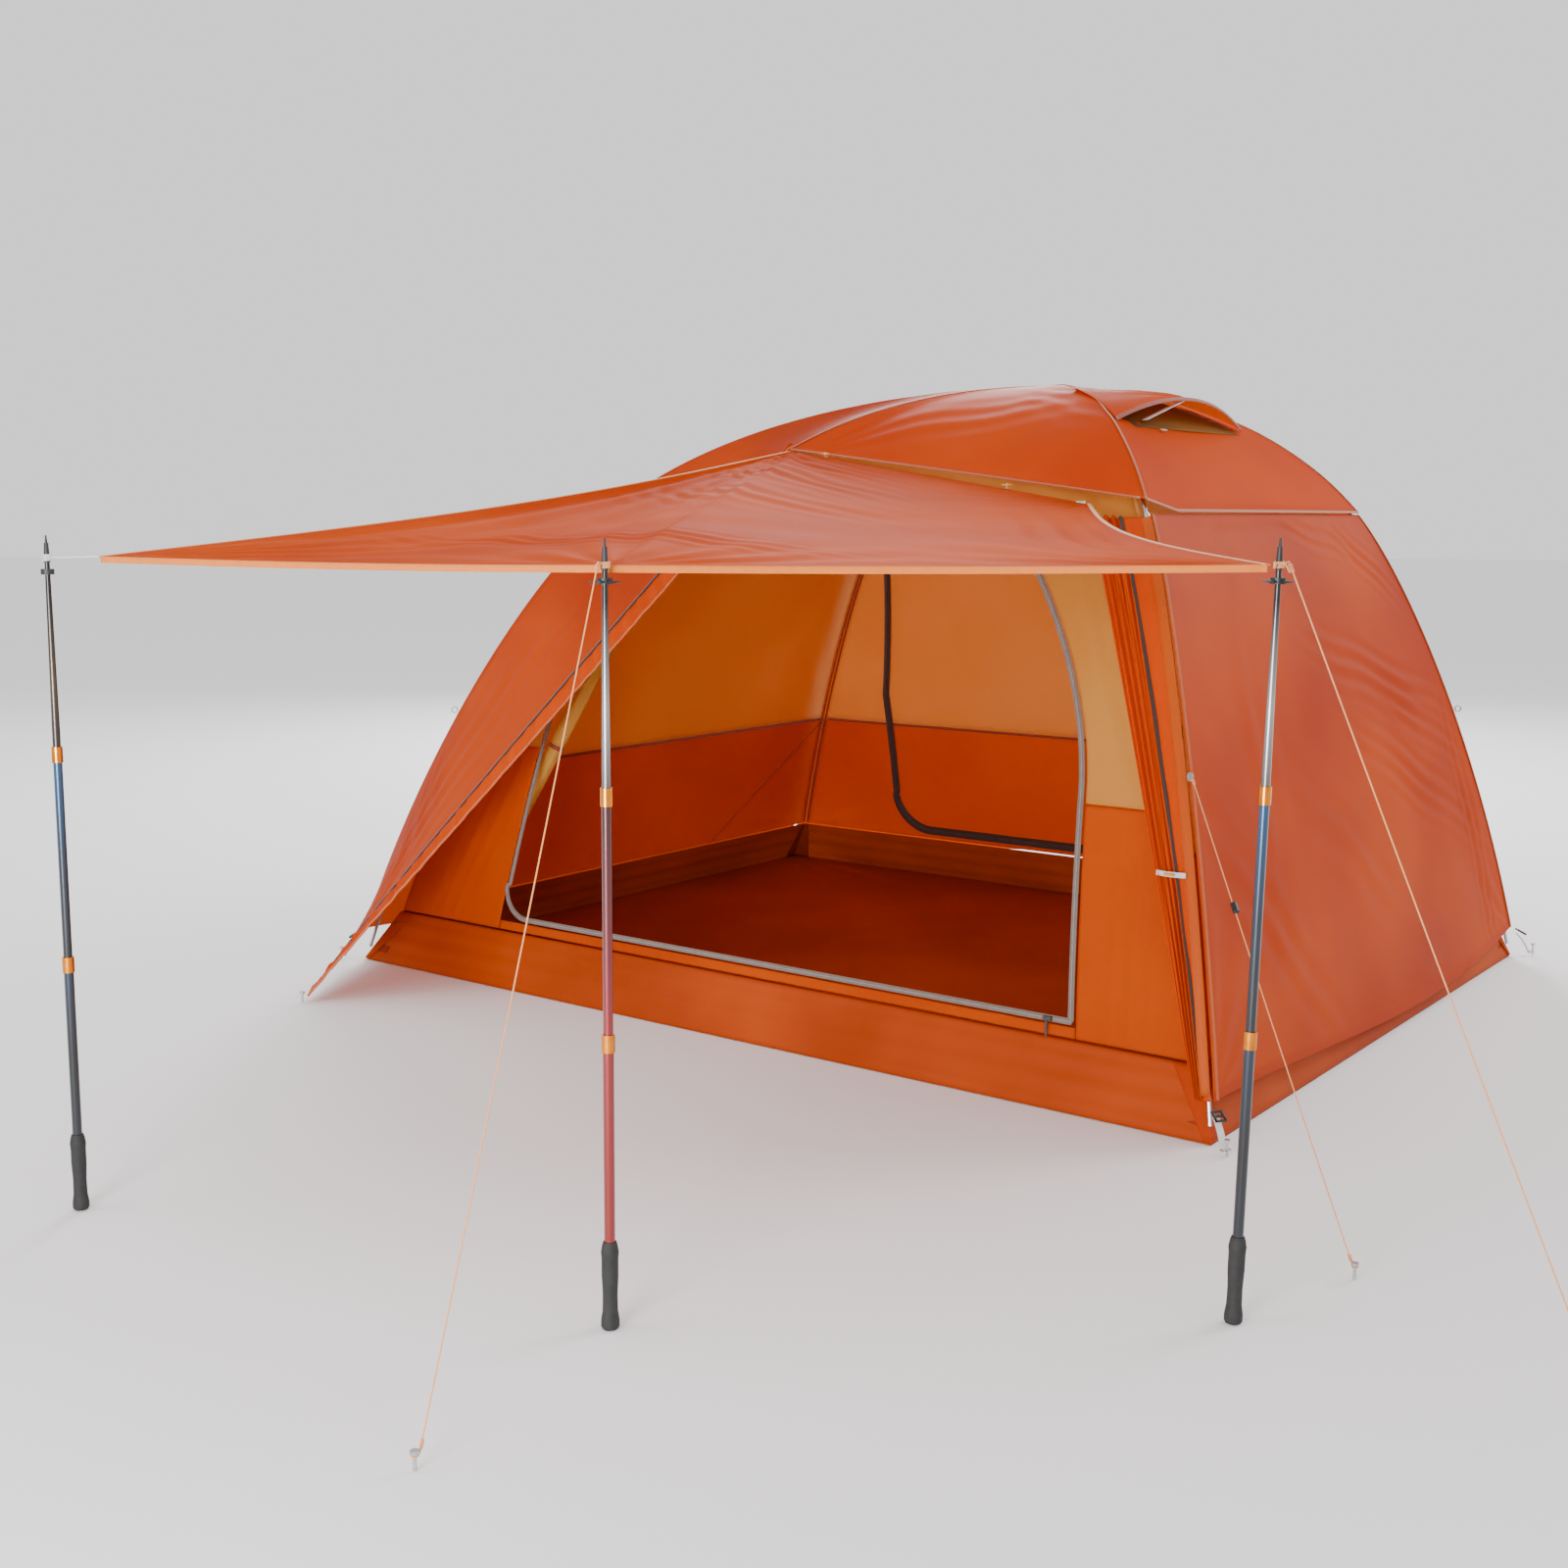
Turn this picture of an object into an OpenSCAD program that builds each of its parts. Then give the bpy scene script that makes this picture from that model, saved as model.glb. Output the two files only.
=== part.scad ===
/* [Floor] */
// Length of the floor along the door side
floor_length = 2780; // [2000:20:3600]
// Width of the floor from front to back
floor_width = 2180; // [1600:20:2800]
// Height of the waterproof tub wall
tub_height = 150; // [100:10:220]

/* [Pole frame] */
// Height of the fly over the hub
peak_height = 1700; // [1350:10:2100]
// Distance of the hub to the right of the floor's centre
hub_offset = 350; // [0:10:500]
// Diameter of the frame poles
pole_d = 9.6; // [8:0.2:13]
// How far below the peak a leg has its elbow
elbow_drop = 360; // [280:10:420]
// Half length of the pole that crosses the roof
cross_half = 480; // [300:10:560]
// Diameter of the hub disc
hub_d = 66; // [50:1:90]

/* [Inner tent] */
// Height of the seam between the solid wall and the light upper wall
wall_seam_height = 600; // [450:10:800]
// Distance of the door's left edge from the floor's centre, at the ground
door_left = 880; // [600:10:920]
// Distance of the door's right edge from the floor's centre, at the ground
door_right = 1036; // [800:4:1100]
// Height of the bottom zip of the door above the tub
door_rise = 33; // [20:1:80]
// Width of the zip tape
zip_w = 14; // [8:1:24]

/* [Fly] */
// Height of the hem above the ground at the corners
hem_height = 95; // [60:5:200]
// Distance of the wing's stake in front of the floor's centre
wing_stake_out = 1510; // [1300:10:1800]
// Distance of the wing's stake to the left of the floor's centre
wing_stake_left = 1110; // [800:10:1300]
// Distance of the back vestibule's stake behind the floor's centre
back_stake_out = 1850; // [1500:10:2200]
// Width of the vent's slit
vent_w = 758; // [600:2:800]
// How high the stay holds the vent's lip over the roof
vent_lift = 82; // [50:2:100]

/* [Props] */
// Length of a set-up trekking pole
prop_length = 1300; // [1150:10:1400]
// Length of the grip
grip_length = 150; // [120:5:180]
// Share of the pole's length at which the upper shaft ends
upper_share = 0.363; // [0.33:0.003:0.39]
// Share of the pole's length at which the middle shaft ends
middle_share = 0.674; // [0.65:0.003:0.7]
// Outer diameter of the upper shaft
upper_shaft_d = 18; // [15:0.5:22]
// Wall of a trekking pole shaft
shaft_wall = 0.7; // [0.5:0.1:0.9]
// Running gap between two shafts
shaft_gap = 0.2; // [0.1:0.05:0.3]

/* [Soft parts] */
// Thickness of a cloth panel
cloth = 2; // [1:0.5:3]
// Gap between two cloth panels
seam_gap = 4; // [2:1:8]
// Diameter of a guy line
guy_d = 2.4; // [1.5:0.1:4]

/* [Hidden] */

// Corners of the floor, in order: front left, front right, back right, back left
half_l = floor_length / 2;
half_w = floor_width / 2;
corners = [[-half_l, -half_w], [half_l, -half_w], [half_l, half_w], [-half_l, half_w]];
hub_at = [hub_offset, 0];

// A leg's line is two curves that meet at the elbow.
// Each point is the share of the way from the hub to the corner, and the height.
elbow_reach = 0.62;
elbow_height = peak_height - elbow_drop;
crown = [[0, peak_height], [0.25, peak_height], [0.48, peak_height - elbow_drop / 3],
         [elbow_reach, elbow_height]];
knee_drop = 190;
calf_share = 0.463;
shin = [[elbow_reach, elbow_height], [0.73, elbow_height - knee_drop],
        [0.905, elbow_height * calf_share], [1, 0]];

function lerp(a, b, t) = a + (b - a) * t;
function bez(p, t) = pow(1 - t, 3) * p[0] + 3 * pow(1 - t, 2) * t * p[1]
  + 3 * (1 - t) * t * t * p[2] + pow(t, 3) * p[3];
function profile(q) = q < 0.5 ? bez(crown, 2 * q) : bez(shin, 2 * q - 1);
profile_steps = 80;
reach_table = [for (i = [profile_steps : -1 : 0])
  let (p = profile(i / profile_steps)) [p[1], p[0]]];
function reach_at(z) = lookup(z, reach_table);
function rim(w) = let (i = min(floor(w), 3), a = corners[i], b = corners[(i + 1) % 4])
  lerp(a, b, w - i);

// A layer of the tent is the fly's shape drawn in a little: how much in plan, in height, and a lift
fly_layer = [1.012, 1, 0];
pole_layer = [0.992, 0.985, 10];
inner_layer = [0.962, 0.965, 3];
// A point of a layer: w runs round the corners from 0 to 4, z is the height on the fly
function skin_z(layer, w, z) = let (p = hub_at + reach_at(z) * layer[0] * (rim(w) - hub_at))
  [p[0], p[1], z * layer[1] + layer[2]];
function skin(layer, w, q) = let (s = profile(q), p = hub_at + s[0] * layer[0] * (rim(w) - hub_at))
  [p[0], p[1], s[1] * layer[1] + layer[2]];
// The share w along one side at which a layer has a given x
function side_share(layer, x, z) = let (r = reach_at(z) * layer[0])
  ((x - hub_offset) / r + hub_offset + half_l) / floor_length;

// A cloth panel is a grid of points with a thickness inwards
function cell_normal(g, i, j) = let (
  n = len(g) - 1, m = len(g[0]) - 1,
  a = g[min(i + 1, n)][j] - g[max(i - 1, 0)][j],
  b = g[i][min(j + 1, m)] - g[i][max(j - 1, 0)],
  c = cross(a, b)) c / norm(c);
// Two triangles close the rim between points a and b and the ones k further on
function rim_pair(a, b, k) = [[a, b, k + b], [a, k + b, k + a]];
function hole_rim(h, m, k) = concat(
  [for (j = [h[2] : h[3] - 1]) for (f = rim_pair(h[0] * m + j, h[0] * m + j + 1, k)) f],
  [for (j = [h[2] : h[3] - 1]) for (f = rim_pair(h[1] * m + j + 1, h[1] * m + j, k)) f],
  [for (i = [h[0] : h[1] - 1]) for (f = rim_pair((i + 1) * m + h[2], i * m + h[2], k)) f],
  [for (i = [h[0] : h[1] - 1]) for (f = rim_pair(i * m + h[3], (i + 1) * m + h[3], k)) f]);
// A hole is given as first row, last row, first column and last column
function in_hole(i, j, hole) = i >= hole[0] && i < hole[1] && j >= hole[2] && j < hole[3];
no_hole = [0, 0, 0, 0];
module cloth_panel(g, thick = cloth, hole = no_hole) {
  n = len(g);
  m = len(g[0]);
  cells = [for (i = [0 : n - 2]) for (j = [0 : m - 2]) if (!in_hole(i, j, hole)) i * m + j];
  holed = hole[1] > hole[0];
  top = [for (i = [0 : n - 1]) for (j = [0 : m - 1]) g[i][j]];
  low = [for (i = [0 : n - 1]) for (j = [0 : m - 1]) g[i][j] - thick * cell_normal(g, i, j)];
  k = n * m;
  faces = concat(
    [for (c = cells) [c, c + 1, c + m]],
    [for (c = cells) [c + 1, c + m + 1, c + m]],
    [for (c = cells) [k + c, k + c + m, k + c + 1]],
    [for (c = cells) [k + c + 1, k + c + m, k + c + m + 1]],
    [for (j = [0 : m - 2]) for (f = rim_pair(j + 1, j, k)) f],
    [for (j = [0 : m - 2]) let (r = (n - 1) * m) for (f = rim_pair(r + j, r + j + 1, k)) f],
    [for (i = [0 : n - 2]) for (f = rim_pair(i * m, (i + 1) * m, k)) f],
    [for (i = [0 : n - 2]) for (f = rim_pair((i + 1) * m + m - 1, i * m + m - 1, k)) f],
    holed ? hole_rim(hole, m, k) : []);
  polyhedron(concat(top, low), faces, 10);
}

// A tube swept along a list of points
function tangent(p, i) = let (a = p[min(i + 1, len(p) - 1)] - p[max(i - 1, 0)]) a / norm(a);
function side_axis(t) = let (c = cross(t, abs(t[2]) < 0.9 ? [0, 0, 1] : [1, 0, 0])) c / norm(c);
module swept_tube(p, r, sides = 8) {
  n = len(p);
  pts = [for (i = [0 : n - 1]) let (t = tangent(p, i), s = side_axis(t), u = cross(s, t))
    for (k = [0 : sides - 1]) let (a = 360 * k / sides) p[i] + r * (cos(a) * s + sin(a) * u)];
  faces = concat(
    [[for (k = [0 : sides - 1]) k]],
    [[for (k = [sides - 1 : -1 : 0]) (n - 1) * sides + k]],
    [for (i = [0 : n - 2]) for (k = [0 : sides - 1]) let (l = (k + 1) % sides)
      [i * sides + k, (i + 1) * sides + k, (i + 1) * sides + l]],
    [for (i = [0 : n - 2]) for (k = [0 : sides - 1]) let (l = (k + 1) % sides)
      [i * sides + k, (i + 1) * sides + l, i * sides + l]]);
  polyhedron(pts, faces, 10);
}
module rod(a, b, r, sides = 24) {
  d = b - a;
  translate(a)
    rotate([0, acos(d[2] / norm(d)), atan2(d[1], d[0])])
      cylinder(h = norm(d), r = r, $fn = sides);
}

// ---- Floor and inner tent ----
floor_grow = 0.995;
module floor_tub() {
  h = tub_height;
  lean = inner_layer[0] * reach_at(h);
  ring = [[floor_grow, 0], [lean, h], [lean - 0.004, h],
          [floor_grow - 0.004, cloth * 2]];
  pts = [for (r = ring) for (c = corners) let (p = hub_at + r[0] * (c - hub_at))
    [p[0], p[1], r[1]]];
  color([0.62, 0.16, 0.03])
    polyhedron(pts, concat([[0, 1, 2, 3]], [for (i = [0 : 2]) for (k = [0 : 3])
      let (l = (k + 1) % 4) [i * 4 + l, i * 4 + k, (i + 1) * 4 + k, (i + 1) * 4 + l]],
      [[15, 14, 13, 12]]), 10);
}
// Rows run down the wall and columns run round it
function wall_grid(layer, w0, w1, z_high, z_low, rows, cols) =
  [for (i = [0 : rows]) [for (j = [0 : cols])
    let (z = lerp(z_high, z_low, i / rows), e = seam_gap / floor_width)
    skin_z(layer, lerp(w0 + e, w1 - e, j / cols), z)]];
tub_seam = tub_height + 8;
door_sill = tub_height + door_rise;
module inner_lower_walls() {
  color([0.72, 0.30, 0.04])
    for (w = [1, 2, 3])
      cloth_panel(wall_grid(inner_layer, w, w + 1, wall_seam_height, tub_seam, 4, 6));
}
upper_stop = 0.06;
function upper_grid(w0, w1, q_high, q_low, rows, cols) =
  [for (i = [0 : rows]) [for (j = [0 : cols])
    let (e = seam_gap / floor_width) skin(inner_layer, lerp(w0 + e, w1 - e, j / cols),
      lerp(q_high, q_low, i / rows))]];
// The curve's own parameter at a height on the lower stretch, found by halving
function shin_share(z, a = 0, b = 1, n = 12) = n == 0 ? (1 + (a + b) / 2) / 2 :
  bez(shin, (a + b) / 2)[1] > z ? shin_share(z, (a + b) / 2, b, n - 1)
                                : shin_share(z, a, (a + b) / 2, n - 1);
module inner_upper_walls() {
  color([0.82, 0.48, 0.14])
    for (w = [1, 2, 3])
      cloth_panel(upper_grid(w, w + 1, upper_stop, shin_share(wall_seam_height + seam_gap), 12, 6));
}
// The door's outline: its sides lean in with height, and curve in above the bend
door_lean = 138;
door_bend = 250;
door_bend_share = 0.537;
door_top_drop = 10;
door_top = elbow_height - door_top_drop;
function past_bend(z) = max(0, z / elbow_height - door_bend_share) / (1 - door_bend_share);
function door_draw(z) = door_lean * z / elbow_height + door_bend * pow(past_bend(z), 2);
function door_right_x(z) = door_right - door_draw(z);
function door_left_x(z) = -door_left + door_draw(z);
end_share = seam_gap / floor_length;
function left_strip(z_high, z_low, rows, cols) =
  [for (i = [0 : rows]) let (z = lerp(z_high, z_low, i / rows)) [for (j = [0 : cols])
    skin_z(inner_layer, lerp(end_share, side_share(inner_layer, door_left_x(z), z), j / cols), z)]];
function right_strip(z_high, z_low, rows, cols) =
  [for (i = [0 : rows]) let (z = lerp(z_high, z_low, i / rows)) [for (j = [0 : cols])
    let (w = lerp(side_share(inner_layer, door_right_x(z), z), 1 - end_share, j / cols))
    skin_z(inner_layer, w, z)]];
function sill_strip(rows, cols) =
  [for (i = [0 : rows]) let (z = lerp(door_sill, tub_seam, i / rows)) [for (j = [0 : cols])
    skin_z(inner_layer, side_share(inner_layer,
      lerp(door_left_x(z) + seam_gap, door_right_x(z) - seam_gap, j / cols), z), z)]];
// The wall over the door starts where the door stops
above_door_share = shin_share(min(door_top + seam_gap, elbow_height - 1));
module inner_front_wall() {
  color([0.74, 0.34, 0.06]) {
    cloth_panel(left_strip(door_top, tub_seam, 10, 2));
    cloth_panel(right_strip(door_top, tub_seam, 10, 2));
    cloth_panel(sill_strip(1, 8));
    cloth_panel(upper_grid(0, 1, upper_stop, above_door_share, 8, 6));
  }
}
// The zip lies just inside the door's edge
zip_round = 110;
zip_inset = 6;
function door_path(inset) = concat(
  [for (i = [0 : 6]) let (z = lerp(door_top - 20, door_sill + zip_round, i / 6))
    [door_left_x(z) + inset, z]],
  [for (a = [15 : 15 : 75]) [door_left_x(door_sill) + zip_round - (zip_round - inset) * cos(a),
    door_sill + zip_round - (zip_round - inset) * sin(a)]],
  [[door_left_x(door_sill) + zip_round, door_sill + inset]],
  [[door_right_x(door_sill) - inset, door_sill + inset]],
  [for (i = [1 : 10]) let (z = lerp(door_sill + inset, door_top - 20, i / 10))
    [door_right_x(z) - inset, z]]);
function on_front(p) = skin_z(inner_layer, side_share(inner_layer, p[0], p[1]), p[1]);
module door_zip() {
  a = door_path(zip_inset);
  b = door_path(zip_inset + zip_w);
  color([0.42, 0.36, 0.32])
    cloth_panel([for (i = [len(a) - 1 : -1 : 0]) [on_front(a[i]), on_front(b[i])]]);
}
slider = [22, 7, 10];
module slider_body(at, side) {
  translate(at + [0, side * 8, 0]) {
    cube(slider, center = true);
    translate([0, side * 5, -22])
      cube([6, 2, 36], center = true);
  }
}
module door_slider() {
  at = on_front([door_right - 90, door_sill + zip_inset + zip_w / 2]);
  color([0.35, 0.33, 0.32])
    slider_body(at, -1);
}
// The back door is the front one's twin on the far side, closed
back_door_left = 835;
back_door_right = 620;
back_round = 150;
back_lean = 45;
back_bend = 126;
back_zip_inset = 9;
function back_left_x(z) = -back_door_left + back_lean * z / elbow_height + back_bend * past_bend(z);
function on_back(p) = let (f = on_front(p)) [f[0], -f[1] - back_zip_inset, f[2]];
function back_path(inset) = concat(
  [for (i = [0 : 7]) let (z = lerp(door_top - 20, door_sill + back_round, i / 7))
    [back_left_x(z) + inset, z]],
  [for (a = [15 : 15 : 75]) [back_left_x(door_sill) + back_round - (back_round - inset) * cos(a),
    door_sill + back_round - (back_round - inset) * sin(a)]],
  [[back_left_x(door_sill) + back_round, door_sill + inset],
   [back_door_right, door_sill + inset]]);
module back_zip() {
  a = back_path(0);
  b = back_path(zip_w);
  color([0.20, 0.08, 0.04])
    cloth_panel([for (i = [0 : len(a) - 1]) [on_back(a[i]), on_back(b[i])]]);
}
module back_slider() {
  at = on_back([back_door_right - 40, door_sill + zip_w / 2]);
  color([0.20, 0.10, 0.06])
    slider_body(at, -1);
}
// The open door is rolled up behind the wall on its left
roll_d = 50;
roll_low = 0.35;
roll_aside = 62;
module door_roll() {
  z = roll_low * elbow_height;
  a = on_front([door_left_x(z), z]);
  b = on_front([door_left_x(door_top), door_top]);
  inward = [-roll_aside, roll_d * 0.75, -14];
  color([0.80, 0.45, 0.14])
    rod(a + inward, b + inward, roll_d / 2);
}
tension_d = 3;
module tension_cords() {
  high = skin_z(inner_layer, 3, wall_seam_height);
  low = skin_z(inner_layer, 3.29, tub_seam + 14);
  inward = [14, -14, 0];
  color([0.45, 0.10, 0.03])
    swept_tube([high + inward, lerp(high, low, 0.5) + inward, low + [14, 0, 0]], tension_d / 2);
}

// ---- Pole frame ----
leg_rows = 22;
leg_start = 0.07;
leg_end = 0.992;
function leg_line(w) = [for (i = [0 : leg_rows])
  skin(pole_layer, w, lerp(leg_start, leg_end, i / leg_rows))];
module front_legs() {
  color([0.55, 0.56, 0.58])
    for (w = [0, 1])
      swept_tube(leg_line(w), pole_d / 2, 10);
}
module back_legs() {
  color([0.55, 0.56, 0.58])
    for (w = [2, 3])
      swept_tube(leg_line(w), pole_d / 2, 10);
}
hub_h = 16;
hub_z = peak_height * pole_layer[1] + pole_layer[2];
module pole_hub() {
  color([0.12, 0.12, 0.13]) {
    translate([hub_offset, 0, hub_z - hub_h / 2])
      cylinder(h = hub_h, d = hub_d, $fn = 48);
    for (w = [0 : 3]) {
      end = skin(pole_layer, w, leg_start);
      d = end - [hub_offset, 0, end[2]];
      u = d / norm(d);
      rod([hub_offset, 0, end[2]] + u * hub_d * 0.4, end - u * 1, pole_d / 2 + 3);
    }
  }
}
cross_rows = 16;
cross_lift = 6;
function cross_line() = [for (i = [-cross_rows : 2 : cross_rows])
  let (y = cross_half * i / cross_rows,
       r = abs(y) / half_w,
       z = lookup(r, [for (k = [0 : profile_steps / 2]) profile(k / profile_steps)]))
  [hub_offset, y, z * pole_layer[1] + pole_layer[2] - hub_h - cross_lift + 4 * (1 - i * i / 256)]];
module roof_cross_pole() {
  color([0.55, 0.56, 0.58])
    swept_tube(cross_line(), pole_d / 2, 10);
}
sleeve_shares = [0.28, 0.5, 0.74];
sleeve_bore_gap = 1.8;
sleeve_wall = 0.8;
module pole_sleeves() {
  color([0.72, 0.73, 0.75])
    for (w = [0 : 3])
      for (q = sleeve_shares) {
        m = skin(pole_layer, w, q);
        t = skin(pole_layer, w, q + 0.02) - m;
        u = t / norm(t);
        difference() {
          rod(m - u * 14, m + u * 14, pole_d / 2 + sleeve_bore_gap + sleeve_wall);
          rod(m - u * 20, m + u * 20, pole_d / 2 + sleeve_bore_gap);
        }
      }
}
clip_shares = [0.2, 0.38, 0.6, 0.68, 0.82, 0.9];
clip_gap = 2.6;
module pole_clips() {
  color([0.10, 0.10, 0.11])
    for (w = [0 : 3])
      for (q = clip_shares) {
        p = skin(pole_layer, w, q);
        s = skin(inner_layer, w, q);
        u = (s - p) / norm(s - p);
        rod(p + u * (pole_d / 2 + clip_gap), s - u * 6, 4, 16);
      }
}

// ---- Corners ----
foot_reach = 52;
function corner_out(i) = corners[i] / norm(corners[i]);
module corner_webbing() {
  color([0.80, 0.80, 0.78])
    for (i = [0 : 3]) {
      u = corner_out(i);
      a = corners[i] + u * 10;
      b = corners[i] + u * foot_reach;
      cloth_panel([
        [[a[0] - u[1] * 8, a[1] + u[0] * 8, 70], [a[0] + u[1] * 8, a[1] - u[0] * 8, 70]],
        [[b[0] - u[1] * 8, b[1] + u[0] * 8, 8], [b[0] + u[1] * 8, b[1] - u[0] * 8, 8]]], 2);
    }
}
buckle_height = 75;
module corner_buckles() {
  color([0.08, 0.08, 0.09])
    for (i = [0 : 3]) {
      u = corner_out(i);
      p = corners[i] + u * 24;
      translate([p[0], p[1], buckle_height])
        rotate([0, 30, atan2(u[1], u[0])])
          cube([30, 24, 8], center = true);
    }
}
pin_d = 5;
pin_height = 34;
module corner_pins() {
  color([0.75, 0.76, 0.78])
    for (i = [0 : 3]) {
      u = corner_out(i);
      p = corners[i] + u * (foot_reach + 12);
      translate([p[0], p[1], 0])
        cylinder(h = pin_height, d = pin_d, $fn = 24);
      translate([p[0], p[1], pin_height - 1])
        cylinder(h = 4, d = pin_d + 7, $fn = 24);
    }
}

// ---- Fly ----
// The share of the front side at which the wing's zip runs up to the hub
wing_share = 0.225;
header_left_reach = 0.475;
header_right_reach = 0.60;
back_header_reach = 0.58;
left_seam_reach = 0.60;
header_right_share = 0.91;
// Where the roof stops, as a share of the way out, at w round the rim
end_seam_rise = 5;
end_seam_height = elbow_height + end_seam_rise;
end_reach = reach_at(end_seam_height);
seam_blend = 9;
function roof_stop(w) =
  w < 1 ? lerp(header_left_reach, header_right_reach, (w - wing_share) / (1 - wing_share))
  : w < 2 ? lerp(header_right_reach, end_reach, min(1, (w - 1) * seam_blend))
  : w < 3 ? lerp(end_reach, back_header_reach, min(1, (w - 2) * seam_blend))
  : lerp(back_header_reach, left_seam_reach, min(1, (w - 3) * seam_blend));
height_table = [for (k = [0 : profile_steps]) profile(k / profile_steps)];
function skin_r(layer, w, r) = let (p = hub_at + r * layer[0] * (rim(w) - hub_at))
  [p[0], p[1], lookup(r, height_table) * layer[1] + layer[2]];
roof_cols = 34;
roof_rows = 10;
roof_end = 3.998;
// The vent's opening is a patch of the roof's grid on the right panel
vent_hole = [3, 6, 8, 14];
module fly_roof() {
  g = [for (i = [0 : roof_rows]) [for (j = [0 : roof_cols])
    let (w = lerp(wing_share + 0.004, roof_end, j / roof_cols),
         r = lerp(0.012, roof_stop(w) - 0.003, i / roof_rows))
    skin_r(fly_layer, w, r)]];
  color([0.84, 0.36, 0.04])
    cloth_panel(g, cloth, vent_hole);
}
module fly_left_end() {
  g = [for (i = [0 : 9]) [for (j = [0 : 8])
    let (w = lerp(3.004, 3.996, j / 8),
         top = lookup(left_seam_reach + 0.003, height_table),
         z = lerp(top, hem_height - 30 * sin(180 * (w - 3)), i / 9))
    skin_z(fly_layer, w, z)]];
  color([0.82, 0.40, 0.24])
    cloth_panel(g);
}
end_swell = 60;
module fly_right_end() {
  g = [for (i = [0 : 10]) [for (j = [0 : 10])
    let (w = lerp(1.004, 1.996, j / 10),
         low = hem_height - end_swell * sin(180 * pow(w - 1, 1.5)),
         z = lerp(end_seam_height - seam_gap, low, i / 10))
    skin_z(fly_layer, w, z)]];
  color([0.82, 0.38, 0.18])
    cloth_panel(g);
}
// The wing spans from the left leg to the zip line that runs out to its own stake
zip_top = skin_r(fly_layer, wing_share, header_left_reach);
wing_foot = [-wing_stake_left, -wing_stake_out, 14];
function wing_edge(t) = t < 0.4
  ? skin_r(fly_layer, wing_share - 0.004, lerp(0.014, header_left_reach, t / 0.4))
  : lerp(zip_top, wing_foot, (t - 0.4) / 0.6) + [-3, 0, 0];
function wing_leg(t) = skin_r(fly_layer, 0.002, lerp(0.014, 0.985, pow(t, 0.9)));
module fly_front_wing() {
  g = [for (i = [0 : 14]) let (t = i / 14) [for (j = [0 : 6])
    lerp(wing_leg(t), wing_edge(t), j / 6)]];
  color([0.84, 0.43, 0.28])
    cloth_panel(g);
}
// The strip is the narrow right side of the doorway, drawn back against the leg
strip_billow = 6;
module fly_front_strip() {
  g = [for (i = [0 : 10]) let (t = i / 10, z = lerp(end_seam_height - 10, hem_height, t),
      w0 = lerp(header_right_share, 0.985, pow(t, 0.8)))
    [for (j = [0 : 3]) let (w = lerp(w0, 0.998, j / 3))
      skin_z(fly_layer, w, z) - [0, strip_billow * sin(180 * j / 3), 0]]];
  color([0.78, 0.30, 0.05])
    cloth_panel(g);
}
// The back vestibule hangs from the roof's back edge and is staked out behind
vest_cols = 14;
vest_low = 20;
function hem_point(u) = let (
    a = skin_z(fly_layer, 2.004, hem_height),
    b = skin_z(fly_layer, 2.996, hem_height),
    swell = 1 - pow(abs(2 * u - 1), 2.2))
  [lerp(a[0], b[0], u), a[1] + (back_stake_out - a[1]) * swell,
   lerp(hem_height, vest_low, min(1, swell * 1.5))];
module fly_back_vestibule() {
  g = [for (i = [0 : 8]) let (t = i / 8) [for (j = [0 : vest_cols])
    let (u = j / vest_cols, w = lerp(2.004, 2.996, u), top = roof_stop(w) + 0.004,
         straight = lerp(skin_r(fly_layer, w, top), hem_point(u), t),
         side = skin_z(fly_layer, w, lerp(lookup(top, height_table), hem_height, t)))
    lerp(side, straight, 1 - pow(abs(2 * u - 1), 3))]];
  color([0.82, 0.38, 0.16])
    cloth_panel(g);
}
// The vent: a flap that grows out of the roof's cloth, its lip held up by a slanting stay
function vent_x(r) = hub_offset + r * fly_layer[0] * (half_l - hub_offset);
vent_y = -44;
vent_root_reach = 0.174;
vent_lip_reach = 0.426;
vent_tip_back = 0.024;
vent_root_share = 0.5;
vent_clear = 5;
function roof_height(r) = lookup(r, height_table);
function vent_arch(u) = 1 - pow(abs(2 * u - 1), 2);
function vent_point(t, u) = let (
    r = lerp(vent_root_reach, vent_lip_reach - vent_tip_back * (1 - vent_arch(u)), t))
  [vent_x(r), vent_y + vent_w * (u - 0.5) * lerp(vent_root_share, 1, t),
   roof_height(r) + vent_clear + vent_lift * vent_arch(u) * pow(t, 1.3)];
module vent_flap() {
  color([0.84, 0.36, 0.04])
    cloth_panel([for (i = [0 : 6]) [for (j = [0 : 12]) vent_point(i / 6, j / 12)]]);
}
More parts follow.
